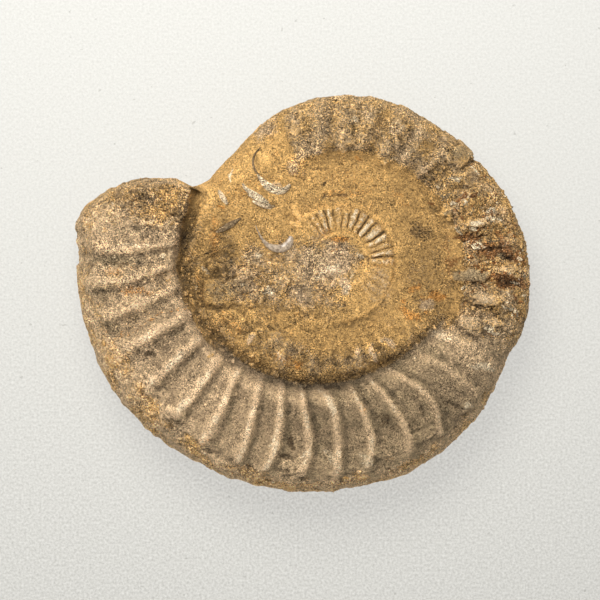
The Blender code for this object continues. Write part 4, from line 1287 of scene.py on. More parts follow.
    def hollowness(self, points: Array, triangles: Array, normals: Array) -> Array:
        """How deep each point lies among its neighbours, which the material turns into painted shade in hollows and
        painted light on crests.

        Args:
            points: rows of x, y and z.
            triangles: rows of three point numbers.
            normals: the surface's normal at each point.

        Returns:
            0.5 on even ground, up to 1 in a hollow and down to 0 on a crest.
        """
        one, other = triangles.T.ravel(), triangles[:, [1, 2, 0]].T.ravel()
        near = np.bincount(one, minlength=len(points))
        smoothed = points
        for _ in range(self.hollow_steps):
            total = np.stack([np.bincount(one, smoothed[other, axis], len(points)) for axis in range(3)], axis=1)
            smoothed = 0.5 * smoothed + 0.5 * total / near[:, None]
        depth = np.einsum("ij,ij->i", smoothed - points, normals)
        return np.clip(0.5 + 0.5 * depth / self.hollow_depth, 0, 1)

    def normals(self, points: Array, triangles: Array) -> Array:
        """The surface's normal at each point.

        Args:
            points: rows of x, y and z.
            triangles: rows of three point numbers.

        Returns:
            Rows of unit vectors.
        """
        corners = points[triangles]
        facing = np.cross(corners[:, 1] - corners[:, 0], corners[:, 2] - corners[:, 0])
        total = np.zeros_like(points)
        for corner, axis in product(range(3), range(3)):
            total[:, axis] += np.bincount(triangles[:, corner], facing[:, axis], len(points))
        return unit(total)

    def shaped(self) -> Surface:
        """Works out the finished surface.

        Returns:
            The surface's arrays with its relief added, and also its normals and its zones.
        """
        surface = self.surface()
        zones = self.zones(surface)
        points, triangles, bearing = surface["points"], surface["triangles"], surface["bearing"]
        x, y = (points[:, :2] - self.coil.centre).T
        relief, tone = self.texture.relief(points, zones["rough"], zones["crumbly"])
        ratio, _, _ = self.coil.placed(bearing, surface["radius"])
        rim = self.rim(bearing, ratio, self.ragged.at(points)) * (bearing < self.worn_from)
        marks = sum(relief_of(x, y, rows) for rows in MARKS.values()) * MM
        relief += (marks + self.slabs(points) - self.ledge_height * rim) * surface["above"]
        zones["tone"] = tone + self.cast(surface)
        points = points + self.normals(points, triangles) * relief[:, None]
        points[:, 2] = np.maximum(points[:, 2], 0)
        normals = self.normals(points, triangles)
        zones["hollow"] = self.hollowness(points, triangles, normals)
        return {**surface, "points": points, "normals": normals, "ratio": ratio, "zones": zones}

    def build(self, shaped: Surface) -> bpy.types.Object:
        """Makes the stone.

        Args:
            shaped: the finished surface.

        Returns:
            The stone's object.
        """
        stone = meshed("stone", shaped["points"], shaped["triangles"].tolist(), shaped["zones"])
        self.unwrap(stone.data, shaped)
        return stone

    def unwrap(self, mesh: bpy.types.Mesh, surface: Surface) -> None:
        """Lays each side out as a disc on the UV map.

        Args:
            mesh: the stone's mesh.
            surface: the surface's arrays.
        """
        outward = np.stack(from_polar(surface["bearing"], surface["share"]), axis=1)
        corners = np.array([loop.vertex_index for loop in mesh.loops])
        upper_faces = np.repeat(surface["above"][surface["triangles"]].min(axis=1) > 0.5, 3)
        spots = np.zeros((len(corners), 2))
        for faces, (*middle, radius) in ((upper_faces, self.upper_island), (~upper_faces, self.lower_island)):
            spots[faces] = middle + radius * outward[corners[faces]]
        mesh.uv_layers.new(name=UV_MAP).data.foreach_set("uv", spots.ravel())


@dataclass(frozen=True)
class InnerCoil:
    """The ribbed coil in the middle, in a finer mesh than the stone that it is part of."""

    stone: Stone
    turns: Pair = (-74, 146)  # seen from the middle of its ribs
    radii: Pair = (11.1 * MM, 25.8 * MM)
    step: float = 0.26 * MM
    rib_height: float = 1.25 * MM
    rib_middle: float = 0.6
    rib_noise: Noise = Noise(3.6 * MM, 73, 2)
    rib_uneven: float = 0.8
    border: float = 1.3 * MM
    border_sunk: float = 2.6 * MM
    body: float = 1.5 * MM
    grains: Noise = Noise(1 * MM, 72, 2, 0.7)
    grain_height: float = 0.1 * MM
    rough_share: float = 0.5

    def build(self) -> bpy.types.Object:
        """Makes the inner coil.

        Returns:
            The inner coil's object.
        """
        stone, filling = self.stone, self.stone.filling
        middle_radius = sum(self.radii) / 2
        columns = int(np.radians(self.turns[1] - self.turns[0]) * middle_radius / self.step)
        rows = int((self.radii[1] - self.radii[0]) / self.step)
        turn, out = np.meshgrid(np.linspace(*self.turns, columns), np.linspace(*self.radii, rows))
        turn, out = turn.ravel(), out.ravel()
        x, y = from_polar(turn, out)
        x, y = x + filling.rib_centre[0], y + filling.rib_centre[1]
        radius = np.hypot(x, y)
        bearing = np.degrees(np.arctan2(y, x)) % TURN
        bearing = np.where(bearing < stone.coil.first_bearing, bearing + TURN, bearing)
        height = stone.upper(bearing, radius)
        crests, ribbed = filling.small_ribs(x, y)
        points = np.stack((x + stone.coil.centre[0], y + stone.coil.centre[1], height), axis=1)
        uneven = 1 + self.rib_uneven * self.rib_noise.at(points)
        height += self.rib_height * ribbed * (crests - self.rib_middle) * uneven
        height += self.grain_height * self.grains.at(points)
        inside = np.minimum(np.minimum(out - self.radii[0], self.radii[1] - out),
                            middle_radius * np.radians(np.minimum(turn - self.turns[0], self.turns[1] - turn)))
        height -= self.border_sunk * (1 - smooth_step(inside / self.border))
        points[:, 2] = height
        surface = {"points": points, "bearing": bearing, "radius": radius, "above": np.ones(len(points))}
        zones = stone.zones(surface)
        relief, tone = stone.texture.relief(points, zones["rough"] * self.rough_share, zones["crumbly"])
        points[:, 2] += relief
        grid = np.arange(rows * columns).reshape(rows, columns)
        top = np.stack([part.ravel() for part in (grid[:-1, :-1], grid[1:, :-1], grid[1:, 1:], grid[:-1, 1:])], axis=1)
        under = points - np.array((0, 0, self.body))
        edge = np.concatenate((grid[0, :-1], grid[:-1, -1], grid[-1, :0:-1], grid[:0:-1, 0]))
        after, count = np.roll(edge, -1), len(points)
        walls = np.stack((edge, after, after + count, edge + count), axis=1)
        faces = np.concatenate((top, top[:, ::-1] + count, walls))
        triangles = np.concatenate((top[:, [0, 1, 2]], top[:, [0, 2, 3]]))
        zones["hollow"] = stone.hollowness(points, triangles, stone.normals(points, triangles))
        zones["tone"] = tone + stone.cast(surface)
        return meshed("inner_coil", np.concatenate((points, under)), faces.tolist(),
                      {name: np.tile(values, 2) for name, values in zones.items()})


@dataclass(frozen=True)
class Sliver:
    """A narrow piece that stands a little out of the stone."""

    path: Rows  # x and y from the middle of the coil, half width and rise, in mm
    shares: dict[Tint | str, float]
    corner: float = 0.25  # how much of a stretch is cut off at each corner

    def smoothed(self, rounds: int = 2) -> Array:
        """The path with its corners cut off."""
        rows = np.array(self.path) * MM
        for _ in range(rounds):
            cut = np.empty((2 * len(rows) - 2, rows.shape[1]))
            cut[0::2] = (1 - self.corner) * rows[:-1] + self.corner * rows[1:]
            cut[1::2] = self.corner * rows[:-1] + (1 - self.corner) * rows[1:]
            rows = np.concatenate((rows[:1], cut, rows[-1:]))
        return rows


@dataclass(frozen=True)
class Slivers:
    """Slivers of one finish, in one mesh."""

    name: str
    slivers: tuple[Sliver, ...]
    sides: int = 12
    depth: float = 1.4 * MM
    reach: float = 1.3 * MM  # how far round the path the stone's height is read
    noise: Noise = Noise(1.2 * MM, 81, 2)
    uneven: float = 0.12 * MM
    even_tone: float = 0.5
    # Painted shade at each sliver's foot and painted light on its top, through the hollow share:
    hollow: Pair = (0.9, 0.1)  # at their foot and on their top

    def build(self, stone: Stone, shaped: Surface) -> bpy.types.Object:
        """Makes the slivers.

        Args:
            stone: the stone.
            shaped: its finished surface.

        Returns:
            The slivers' object.
        """
        over = shaped["points"][shaped["above"] > 0.5]
        points, faces, shares = [], [], {name: [] for name in (*Tint, "rough", "hollow", "tone")}
        for sliver in self.slivers:
            rows = sliver.smoothed()
            spots = rows[:, :2] + np.array(stone.coil.centre)
            base = np.array([over[np.hypot(*(over[:, :2] - spot).T) < self.reach, 2].mean() for spot in spots])
            along_path = np.gradient(spots, axis=0)
            across = unit(np.stack((-along_path[:, 1], along_path[:, 0]), axis=1))
            turn = 2 * np.pi * np.arange(self.sides) / self.sides
            wide = rows[:, 2, None] * np.cos(turn)
            high = np.where(np.sin(turn) > 0, rows[:, 3, None], self.depth) * np.sin(turn)
            ring = np.concatenate((spots[:, None] + across[:, None] * wide[..., None],
                                   (base[:, None] + high)[..., None]), axis=2)
            body = np.concatenate((ring.reshape(-1, 3), [[*spots[0], base[0]]], [[*spots[-1], base[-1]]]))
            body[:, 2] += self.uneven * self.noise.at(body)
            first, count = sum(map(len, points)), len(rows)
            number = first + np.arange(count * self.sides).reshape(count, self.sides)
            following = np.roll(number, -1, axis=1)
            faces += np.stack((number[:-1], number[1:], following[1:], following[:-1]), axis=2).reshape(-1, 4).tolist()
            start, end = first + count * self.sides, first + count * self.sides + 1
            faces += [(start, one, other) for one, other in zip(number[0], following[0])]
            faces += [(end, other, one) for one, other in zip(number[-1], following[-1])]
            points.append(body)
            height = (body[:, 2] - body[:, 2].min()) / np.ptp(body[:, 2])
            for name in shares:
                value = sliver.shares.get(name, self.even_tone if name == "tone" else 0)
                shares[name].append(blend(*self.hollow, height) if name == "hollow" else np.full(len(body), value))
        return meshed(self.name, np.concatenate(points), faces,
                      {name: np.concatenate(values) for name, values in shares.items()})


CREAM = {Tint.PALE: 0.55, Tint.PINK: 0.6, "rough": 0.5}
CRUST = {Tint.PALE: 0.62, Tint.GREY: 0.25, "rough": 1, "tone": 0.55}
DUSKY = {Tint.GREY: 0.8, Tint.DARK: 0.6, "rough": 0.4}
YELLOW = {Tint.OCHRE: 0.85, Tint.PINK: 0.3, "rough": 0.1, "tone": 0.6}

NACRE_PATHS = (
    ((-33.2, 18.8, 0.22, 0.3), (-32.3, 16.6, 0.31, 0.4), (-31.1, 14.2, 0.44, 0.5), (-29.6, 11.8, 0.75, 0.6),
     (-26.8, 9.3, 1.4, 0.8), (-22.7, 8.4, 1.95, 1), (-19.5, 9.7, 2.1, 1), (-17.9, 11.9, 1.7, 0.8),
     (-17.8, 14.2, 0.8, 0.4)),
)
STONE_PATHS = (
    (DUSKY, ((-31, 52.8, 0.3, 0.4), (-33.2, 50.4, 0.45, 0.7), (-34.3, 47.5, 0.5, 0.8),
             (-34.2, 44.7, 0.5, 0.8), (-33, 42.3, 0.5, 0.7), (-31.6, 40.6, 0.4, 0.4))),
    (CRUST, ((-32.4, 41.2, 0.4, 0.4), (-31, 39.2, 1, 0.9), (-29, 36.7, 1.7, 1.2), (-26.2, 34.7, 2.1, 1.4),
             (-22.7, 33.5, 1.7, 1.2), (-19.8, 34.5, 1.3, 0.9), (-18, 36.8, 0.6, 0.4))),
    (CRUST, ((-38.8, 37, 0.5, 0.4), (-37.4, 34.6, 0.9, 0.8), (-34.9, 33, 1.3, 1.1), (-31.4, 31, 1.3, 1),
             (-27.4, 28.6, 0.5, 0.4))),
    (CRUST, ((-36.4, 32.2, 0.5, 0.5), (-33.4, 31, 1.2, 1.1), (-29.9, 29, 1.1, 1), (-26.2, 27.1, 0.5, 0.4))),
    (CREAM, ((-34.6, 29.4, 0.5, 0.4), (-32.3, 28.5, 1, 0.9), (-29, 27, 1, 0.8), (-26.2, 26, 0.4, 0.3))),
    (DUSKY, ((-29, 26.9, 0.44, 0.4), (-26.8, 26.7, 0.7, 0.6), (-24.6, 27.1, 0.53, 0.4))),
    (CREAM, ((-49.4, 34.2, 0.44, 0.3), (-48.3, 32.4, 1.14, 0.7), (-47, 30.2, 1.32, 0.8),
             (-45.5, 28, 0.7, 0.4))),
    (DUSKY, ((-50.4, 15.7, 0.4, 0.3), (-47.4, 17.1, 1.3, 0.8), (-43.9, 19.1, 1.5, 0.8),
             (-39.6, 21.9, 0.4, 0.3))),
    (YELLOW, ((-17, 27.2, 0.9, 0.6), (-15.7, 24.5, 1.7, 1.3), (-14.1, 22.3, 1.5, 1.2), (-12.2, 20, 0.8, 0.6))),
    (YELLOW, ((-18.2, 20.1, 0.7, 0.5), (-15.4, 18.9, 1.4, 1.1), (-12.8, 17.9, 1.2, 0.9),
              (-10.6, 17.3, 0.6, 0.4))),
    (YELLOW, ((-11.8, 24.4, 0.4, 0.4), (-9.9, 22, 0.8, 0.9), (-8.6, 19.6, 0.5, 0.4))),
    (YELLOW, ((-11.1, 27.6, 0.22, 0.3), (-9.3, 26.1, 0.35, 0.5), (-6.9, 24.5, 0.22, 0.3))),
    (YELLOW, ((13.9, 30.9, 0.22, 0.3), (13.7, 28.9, 0.39, 0.5), (13.4, 26.3, 0.26, 0.3))),
    (YELLOW, ((17.5, 28.9, 0.22, 0.3), (16.8, 27.1, 0.31, 0.4), (16.1, 25.4, 0.22, 0.3))),
)


@dataclass(frozen=True)
class Grains:
    """Angular grains that stand half out of the stone where it is crumbly."""

    name: str
    count: int
    widths: Pair
    seed: int
    small_power: float = 2  # how much commoner the small ones are
    uneven: float = 0.22
    flatness: Pair = (0.45, 0.9)
    narrow: Pair = (0.6, 1)
    sunk: Pair = (0.05, 0.3)  # share of its width that its middle lies under the surface
    crumbly_power: float = 4
    steep: Pair = (0.25, 0.35)  # where the stone is too steep for them, and the blend
    lean: float = 0.35
    bearings: Pair = (150, 510)
    from_ratio: float = 0
    outward: float = 0  # how far the long sides point away from the coil's middle
    tone_spread: float = 0.5
    # Painted shade at each grain's foot and painted light on its top, through the hollow share:
    hollow: Pair = (0.45, -0.9)  # in their middle, and how it changes towards their top
    stains: tuple[tuple[Tint, float, float], ...] = ()  # tint, how many grains have it, and how strongly

    def blob(self) -> tuple[Array, Array]:
        """Corners and faces of a regular solid with twenty faces."""
        long = (1 + 5 ** 0.5) / 2
        corners = np.array([(0, 1, long), (0, -1, long), (0, 1, -long), (0, -1, -long),
                            (1, long, 0), (-1, long, 0), (1, -long, 0), (-1, -long, 0),
                            (long, 0, 1), (long, 0, -1), (-long, 0, 1), (-long, 0, -1)]) / np.hypot(1, long)
        faces = np.array([(0, 1, 8), (0, 8, 4), (0, 4, 5), (0, 5, 10), (0, 10, 1), (3, 2, 9), (3, 9, 6),
                          (3, 6, 7), (3, 7, 11), (3, 11, 2), (1, 6, 8), (8, 6, 9), (8, 9, 4), (4, 9, 2),
                          (4, 2, 5), (5, 2, 11), (5, 11, 10), (10, 11, 7), (10, 7, 1), (1, 7, 6)])
        return corners, faces

    def chosen(self, shaped: Surface, random: np.random.Generator) -> Array:
        """Picks the stone's triangles that hold a grain.

        Args:
            shaped: the stone's finished surface.
            random: where the choice comes from.

        Returns:
            The number of a triangle for each grain.
        """
        triangles, first = shaped["triangles"], shaped["triangles"][:, 0]
        corners = shaped["points"][triangles]
        area = np.linalg.norm(np.cross(corners[:, 1] - corners[:, 0], corners[:, 2] - corners[:, 0]), axis=1)
        crumbly = shaped["zones"]["crumbly"][triangles].mean(axis=1) * shaped["above"][triangles].min(axis=1)
        flat = smooth_step((shaped["normals"][first, 2] - self.steep[0]) / self.steep[1])
        chance = area * np.clip(crumbly, 0, 1) ** self.crumbly_power * flat
        bearing, ratio = shaped["bearing"][first], shaped["ratio"][first]
        chance = chance * (bearing > self.bearings[0]) * (bearing < self.bearings[1]) * (ratio > self.from_ratio)
        return random.choice(len(triangles), self.count, p=chance / chance.sum())

    def build(self, shaped: Surface) -> bpy.types.Object:
        """Makes the grains.

        Args:
            shaped: the stone's finished surface.

        Returns:
            The grains' object.
        """
        random = np.random.default_rng(self.seed)
        face = shaped["triangles"][self.chosen(shaped, random)]
        holder = face[:, 0]
        share = random.dirichlet((1, 1, 1), self.count)
        middle = np.einsum("ij,ijk->ik", share, shaped["points"][face])
        upward = shaped["normals"][holder]
        width = self.widths[0] + (self.widths[1] - self.widths[0]) * random.random(self.count) ** self.small_power
        blob, faces = self.blob()
        local = blob[None] * random.uniform(1 - self.uneven, 1 + self.uneven, (self.count, len(blob), 1))
        local = local * (width / 2)[:, None, None]
        local[:, :, 2] *= random.uniform(*self.flatness, self.count)[:, None]
        local[:, :, 1] *= random.uniform(*self.narrow, self.count)[:, None]
        sideways = unit(np.cross(upward, random.normal(size=(self.count, 3))))
        sideways[:, :2] += self.outward * np.stack(from_polar(shaped["bearing"][holder], 1), axis=1)
        leaning = unit(upward + self.lean * random.normal(size=(self.count, 3)))
        across = unit(np.cross(leaning, sideways))
        axes = np.stack((np.cross(across, leaning), across, leaning), axis=1)
        placed = local @ axes
        raised = np.einsum("ijk,ik->ij", placed, upward) / width[:, None]
        placed += (middle - upward * (width * random.uniform(*self.sunk, self.count))[:, None])[:, None]
        placed[:, :, 2] = np.maximum(placed[:, :, 2], 0)
        numbered = faces[None] + len(blob) * np.arange(self.count)[:, None, None]
        shares = {name: np.repeat(values[holder], len(blob)) for name, values in shaped["zones"].items()}
        chosen = random.random(self.count)
        for tint, many, strength in self.stains:
            stained = np.repeat(chosen < many, len(blob))
            chosen = chosen - many
            chosen[chosen < 0] = 2
            shares[tint] = np.where(stained, strength, shares[tint])
        shares["hollow"] = np.clip(self.hollow[0] + self.hollow[1] * raised.ravel(), 0, 1)
        tone = np.clip(0.5 + self.tone_spread * random.normal(size=self.count) * 0.5, 0, 1)
        shares["tone"] = np.repeat(tone - 0.5, len(blob)) + shares["tone"]
        grains = meshed(self.name, placed.reshape(-1, 3), numbered.reshape(-1, 3).tolist(), shares, smooth=False)
        self.unwrap(grains.data, len(faces))
        return grains

    def unwrap(self, mesh: bpy.types.Mesh, face_count: int) -> None:
        """Gives each face of each grain a place of its own on the UV map.

        Args:
            mesh: the grains' mesh.
            face_count: how many faces a grain has.
        """
        pairs = self.count * face_count // 2  # two triangles share a square
        side = int(np.ceil(np.sqrt(pairs)))
        square = np.arange(pairs * 2) // 2
        corner = np.stack((square % side, square // side), axis=1) / side
        first = np.array(((0.1, 0.1), (0.8, 0.1), (0.1, 0.8)))
        spots = np.where((np.arange(pairs * 2) % 2 == 0)[:, None, None], first[None], 1 - first[None])
        mesh.uv_layers.new(name=UV_MAP).data.foreach_set("uv", (corner[:, None] + spots / side).ravel())


class Graph:
    """A node tree, with short calls to place nodes and join them."""

    def __init__(self, tree: bpy.types.NodeTree) -> None:
        """Keeps the tree to work on."""
        self.tree = tree

    def add(self, kind: str, settings: dict | None = None, inputs: dict | None = None) -> bpy.types.Node:
        """Places a node.

        Args:
            kind: the node's type.
            settings: its properties.
            inputs: for each input, by name or number, a socket to join or a value.

        Returns:
            The node.
        """
        node = self.tree.nodes.new(kind)
        for name, value in (settings or {}).items():
            setattr(node, name, value)
        for name, value in (inputs or {}).items():
            self.feed(node.inputs[name], value)
        return node

    def feed(self, entry: Socket, value: Socket | float | Colour) -> None:
        """Joins a socket to an input, or sets the input's own value."""
        if isinstance(value, Socket):
            self.tree.links.new(value, entry)
        else:
            entry.default_value = value

    def math(self, operation: str, *values: Socket | float) -> Socket:
        """Works out a number from others."""
        return self.add("ShaderNodeMath", {"operation": operation}, dict(enumerate(values))).outputs[0]

    def times(self, first: Socket, *others: Socket | float) -> Socket:
        """Multiplies numbers, one after the other."""
        for other in others:
            first = self.math("MULTIPLY", first, other)
        return first

    def ramp(self, value: Socket, low: float, high: float, to_low: float = 0, to_high: float = 1,
             kind: str = "SMOOTHSTEP") -> Socket:
        """Maps a stretch of a value onto another stretch."""
        return self.add("ShaderNodeMapRange", {"interpolation_type": kind},
                        {0: value, 1: low, 2: high, 3: to_low, 4: to_high}).outputs[0]

    def line(self, value: Socket, low: float, high: float, to_low: float, to_high: float) -> Socket:
        """Maps a stretch of a value onto another stretch, evenly."""
        return self.ramp(value, low, high, to_low, to_high, "LINEAR")

    def mix(self, factor: Socket | float, one: Socket | Colour, other: Socket | Colour,
            how: str = "MIX") -> Socket:
        """Mixes two colours."""
        return self.add("ShaderNodeMix", {"data_type": "RGBA", "blend_type": how},
                        {0: factor, 6: one, 7: other}).outputs[2]

    def noise(self, places: Socket, scale: Socket | float, detail: float, roughness: float,
              shift: Colour = (0, 0, 0)) -> Socket:
        """Reads a noise.

        Args:
            places: where to read it.
            scale: how many cells lie in a metre.
            detail: how many finer noises are added.
            roughness: how strong those are.
            shift: what is added to the places, to tell one noise from another.

        Returns:
            The noise's value.
        """
        if any(shift):
            places = self.add("ShaderNodeVectorMath", {"operation": "ADD"}, {0: places, 1: shift}).outputs[0]
        return self.add("ShaderNodeTexNoise", None, {
            "Vector": places, "Scale": scale, "Detail": detail, "Roughness": roughness}).outputs[0]

    def layer(self, name: str) -> Socket:
        """Reads a share that the mesh carries."""
        return self.add("ShaderNodeAttribute", {"attribute_name": name}).outputs["Fac"]

    def group(self, tree: bpy.types.NodeTree, inputs: dict) -> bpy.types.bpy_prop_collection:
        """Places a group of nodes, and gives its outputs."""
        return self.add("ShaderNodeGroup", {"node_tree": tree}, inputs).outputs

    def bump(self, shader: bpy.types.Node, strength: float, distance: float, height: Socket) -> None:
        """Gives a shader a bump."""
        node = self.add("ShaderNodeBump", None, {"Strength": strength, "Distance": distance, "Height": height})
        self.feed(shader.inputs["Normal"], node.outputs[0])


def new_group(name: str, inputs: dict[str, str], outputs: dict[str, str]) -> tuple[Graph, dict, dict]:
    """Begins a group of shader nodes.

    Args:
        name: the group's name.
        inputs: its inputs and their kinds.
        outputs: its outputs and their kinds.

    Returns:
        The group's graph, its inputs as sockets to read, and its outputs as sockets to feed.
    """
    tree = bpy.data.node_groups.new(name, "ShaderNodeTree")
    for way, sockets in (("INPUT", inputs), ("OUTPUT", outputs)):
        for label, kind in sockets.items():
            tree.interface.new_socket(name=label, in_out=way, socket_type=kind)
    graph = Graph(tree)
    entry, leave = graph.add("NodeGroupInput"), graph.add("NodeGroupOutput")
    return graph, {label: entry.outputs[label] for label in inputs}, {label: leave.inputs[label] for label in outputs}


def new_material(name: str) -> tuple[bpy.types.Material, Graph, bpy.types.Node, Socket]:
    """Begins a material.

    Args:
        name: the material's name.

    Returns:
        The material, its graph, its shader, and the places on the object.
    """
    material = bpy.data.materials.new(name)
    material.use_nodes = True
    graph = Graph(material.node_tree)
    places = graph.add("ShaderNodeTexCoord").outputs["Object"]
    return material, graph, material.node_tree.nodes["Principled BSDF"], places


FLOAT, VECTOR = "NodeSocketFloat", "NodeSocketVector"


def grit_group() -> bpy.types.NodeTree:
    """Grains and specks, for every material of the stone.

    Returns:
        A group that takes places and how many grains lie in a metre, and puts out the grain's shade, a
        coarser shade, dark and light specks, thin veins, how much the grain shows, dots and a height.
    """
    graph, entry, leave = new_group("grit", {"Vector": VECTOR, "Grains": FLOAT}, {
        "Fine": FLOAT, "Coarse": FLOAT, "Dark": FLOAT, "Light": FLOAT, "Veins": FLOAT, "Patchy": FLOAT,
        "Dots": FLOAT, "Height": FLOAT})

    def noise(times: float, detail: float, roughness: float, shift: float) -> Socket:
        """A noise of so many times the grains, in a place of its own."""
        scale = graph.times(entry["Grains"], times)
        return graph.noise(entry["Vector"], scale, detail, roughness, (shift, -shift, 0.5 * shift))

    fine, coarse = noise(1, 2, 0.75, 0), noise(0.3, 3, 0.6, 0.4)
    dark = graph.ramp(noise(0.8, 2, 0.6, 0.8), 0.6, 0.66)
    light = graph.ramp(noise(0.9, 2, 0.6, 1.2), 0.62, 0.69)
    patchy = graph.line(noise(0.06, 3, 0.6, 2.3), 0.36, 0.64, 0.45, 1.4)
    between = graph.math("ABSOLUTE", graph.math("SUBTRACT", noise(0.42, 4, 0.65, 1.7), 0.5))
    veins = graph.ramp(between, 0, 0.05, 1, 0)
    cells = graph.add("ShaderNodeTexVoronoi", None, {
        "Vector": entry["Vector"], "Scale": graph.times(entry["Grains"], 0.42)}).outputs
    holed = graph.add("ShaderNodeSeparateColor", None, {0: cells["Color"]}).outputs
    wide = graph.line(holed[1], 0, 1, 0.16, 0.34)
    dots = graph.times(graph.math("LESS_THAN", cells["Distance"], wide), graph.math("GREATER_THAN", holed[0], 0.62))
    height = fine
    for sunk, depth in ((dark, 0.3), (dots, 0.4), (veins, 0.25)):
        height = graph.math("SUBTRACT", height, graph.times(sunk, depth))
    height = graph.math("ADD", height, graph.times(graph.math("SUBTRACT", coarse, 0.5), 1.5))
    for label, value in zip(leave, (fine, coarse, dark, light, veins, patchy, dots, height)):
        graph.feed(leave[label], value)
    return graph.tree


def crumbled_group() -> bpy.types.NodeTree:
    """Breaks a soft patch up into grains.

    Returns:
        A group that takes the patch's share, a grain and how far the grains spread, and puts out a factor.
    """
    graph, entry, leave = new_group("crumbled", {"Share": FLOAT, "Grain": FLOAT, "Spread": FLOAT},
                                    {"Factor": FLOAT})
    thrown = graph.times(graph.math("SUBTRACT", entry["Grain"], 0.5), entry["Spread"])
    graph.feed(leave["Factor"], graph.ramp(graph.math("ADD", entry["Share"], thrown), 0.3, 0.7))
    return graph.tree


@dataclass(frozen=True)
class StoneFinish:
    """Weathered limestone, its ochre matrix and what stains them, with the painted light and shade that the mesh's
    shares also carry.
    """

    grit: bpy.types.NodeTree
    crumbled: bpy.types.NodeTree
    shell: Colour = linear(184, 156, 120)
    tints: tuple[tuple[Tint, Colour, float], ...] = (  # tint, colour, spread of its grains
        (Tint.OCHRE, linear(198, 154, 88), 1.1),
        (Tint.PINK, linear(200, 170, 134), 1.6),
        (Tint.GREY, linear(150, 130, 98), 1.8),
        (Tint.RUST, linear(132, 84, 44), 1.8),
        (Tint.ORANGE, linear(202, 138, 66), 1.6),
        (Tint.PALE, linear(224, 204, 170), 1.6),
        (Tint.DARK, linear(90, 70, 48), 1.8),
    )
    tint_shift: Triple = (0.31, 0.17, 0.23)  # of each tint's grains from the one's before
    fleck: Colour = linear(224, 202, 158)
    cover: float = 0.85  # the most that one tint hides of those under it
    grains: float = 1900  # in a metre
    fine_contrast: Pair = (2.6, 7.2)  # on smooth and on rough stone
    rough_lift: float = 1.32
    coarse_shade: Pair = (0.66, 1.34)
    dot_shade: float = 0.5
    dark_shade: float = 0.45
    vein_shade: float = 0.5
    tone_shade: Pair = (0.6, 1.66)
    # Painted shade in hollows and painted light on crests, read from the hollow share.
    hollow_shade: Pair = (1.28, 0.48)
    roughness: Pair = (0.78, 0.97)
    specular: float = 0.25
    bump: float = 1 * MM

    def colour(self, graph: Graph, places: Socket, light: Socket, rough: Socket) -> Socket:
        """Lays the tints and the flecks over the shell's colour.

        Args:
            graph: the material's graph.
            places: the places on the object.
            light: the light specks.
            rough: how rough the stone is.

        Returns:
            The colour.
        """
        colour = self.shell
        for number, (tint, tone, spread) in enumerate(self.tints):
            shift = tuple(number * part for part in self.tint_shift)
            grain = graph.noise(places, self.grains * 0.5, 4, 0.75, shift)
            factor = graph.group(self.crumbled, {
                "Share": graph.layer(tint.value), "Grain": grain, "Spread": spread})[0]
            colour = graph.mix(graph.times(factor, self.cover), colour, tone)
        return graph.mix(graph.times(light, graph.line(rough, 0.2, 1, 0.25, 0.75)), colour, self.fleck)

    def shade(self, graph: Graph, grit: dict[str, Socket], rough: Socket) -> Socket:
        """How light the colour is, with the painted shade and light that the hollow and tone shares carry.

        Args:
            graph: the material's graph.
            grit: what the group of grains and specks puts out.
            rough: how rough the stone is.

        Returns:
            What to multiply the colour by.
        """
        fine = graph.times(graph.math("SUBTRACT", grit["Fine"], 0.5),
                           graph.line(rough, 0, 1, *self.fine_contrast), grit["Patchy"])
        broad = graph.math("SUBTRACT", graph.line(grit["Coarse"], 0.3, 0.7, *self.coarse_shade), 1)
        broad = graph.times(broad, graph.line(rough, 0.2, 0.9, 0.6, 1))
        veined = graph.times(grit["Veins"], graph.line(rough, 0.1, 1, 0, self.vein_shade))
        return graph.times(
            graph.math("ADD", fine, 1), graph.math("ADD", broad, 1),
            graph.line(grit["Dots"], 0, 1, 1, self.dot_shade),
            graph.line(graph.layer("hollow"), 0.15, 0.9, *self.hollow_shade),
            graph.line(grit["Dark"], 0, 1, 1, self.dark_shade),
            graph.line(rough, 0, 1, 1, self.rough_lift), graph.math("SUBTRACT", 1, veined),
            graph.line(graph.layer("tone"), 0, 1, *self.tone_shade))

    def material(self) -> bpy.types.Material:
        """The stone's material.

        Returns:
            A material that reads the shares that the stone's mesh carries.
        """
        material, graph, shader, places = new_material("stone")
        grit = graph.group(self.grit, {"Vector": places, "Grains": self.grains})
        rough = graph.layer("rough")
        shade = self.shade(graph, grit, rough)
        shade = graph.add("ShaderNodeCombineColor", None, {0: shade, 1: shade, 2: shade}).outputs[0]
        colour = self.colour(graph, places, grit["Light"], rough)
        graph.feed(shader.inputs["Base Color"], graph.mix(1, colour, shade, "MULTIPLY"))
        graph.feed(shader.inputs["Roughness"], graph.ramp(grit["Coarse"], 0.3, 0.7, *self.roughness))
        shader.inputs["Specular IOR Level"].default_value = self.specular
        graph.bump(shader, 1, self.bump, graph.times(grit["Height"], graph.ramp(rough, 0, 1, 0.4, 1.5)))
        return material


@dataclass(frozen=True)
class NacreFinish:
    """The silvery inside of a thick shell."""

    light: Colour = linear(188, 168, 142)
    deep: Colour = linear(118, 100, 82)
    layers: float = 900  # in a metre
    roughness: float = 0.32
    coat: float = 0.3
    bump: float = 0.15 * MM

    def material(self) -> bpy.types.Material:
        """The nacre's material."""
        material, graph, shader, places = new_material("nacre")
        noise = graph.noise(places, self.layers, 4, 0.65)
        graph.feed(shader.inputs["Base Color"], graph.mix(graph.ramp(noise, 0.35, 0.65), self.deep, self.light))
        shader.inputs["Roughness"].default_value = self.roughness
        shader.inputs["Coat Weight"].default_value = self.coat
        graph.bump(shader, 0.6, self.bump, noise)
        return material


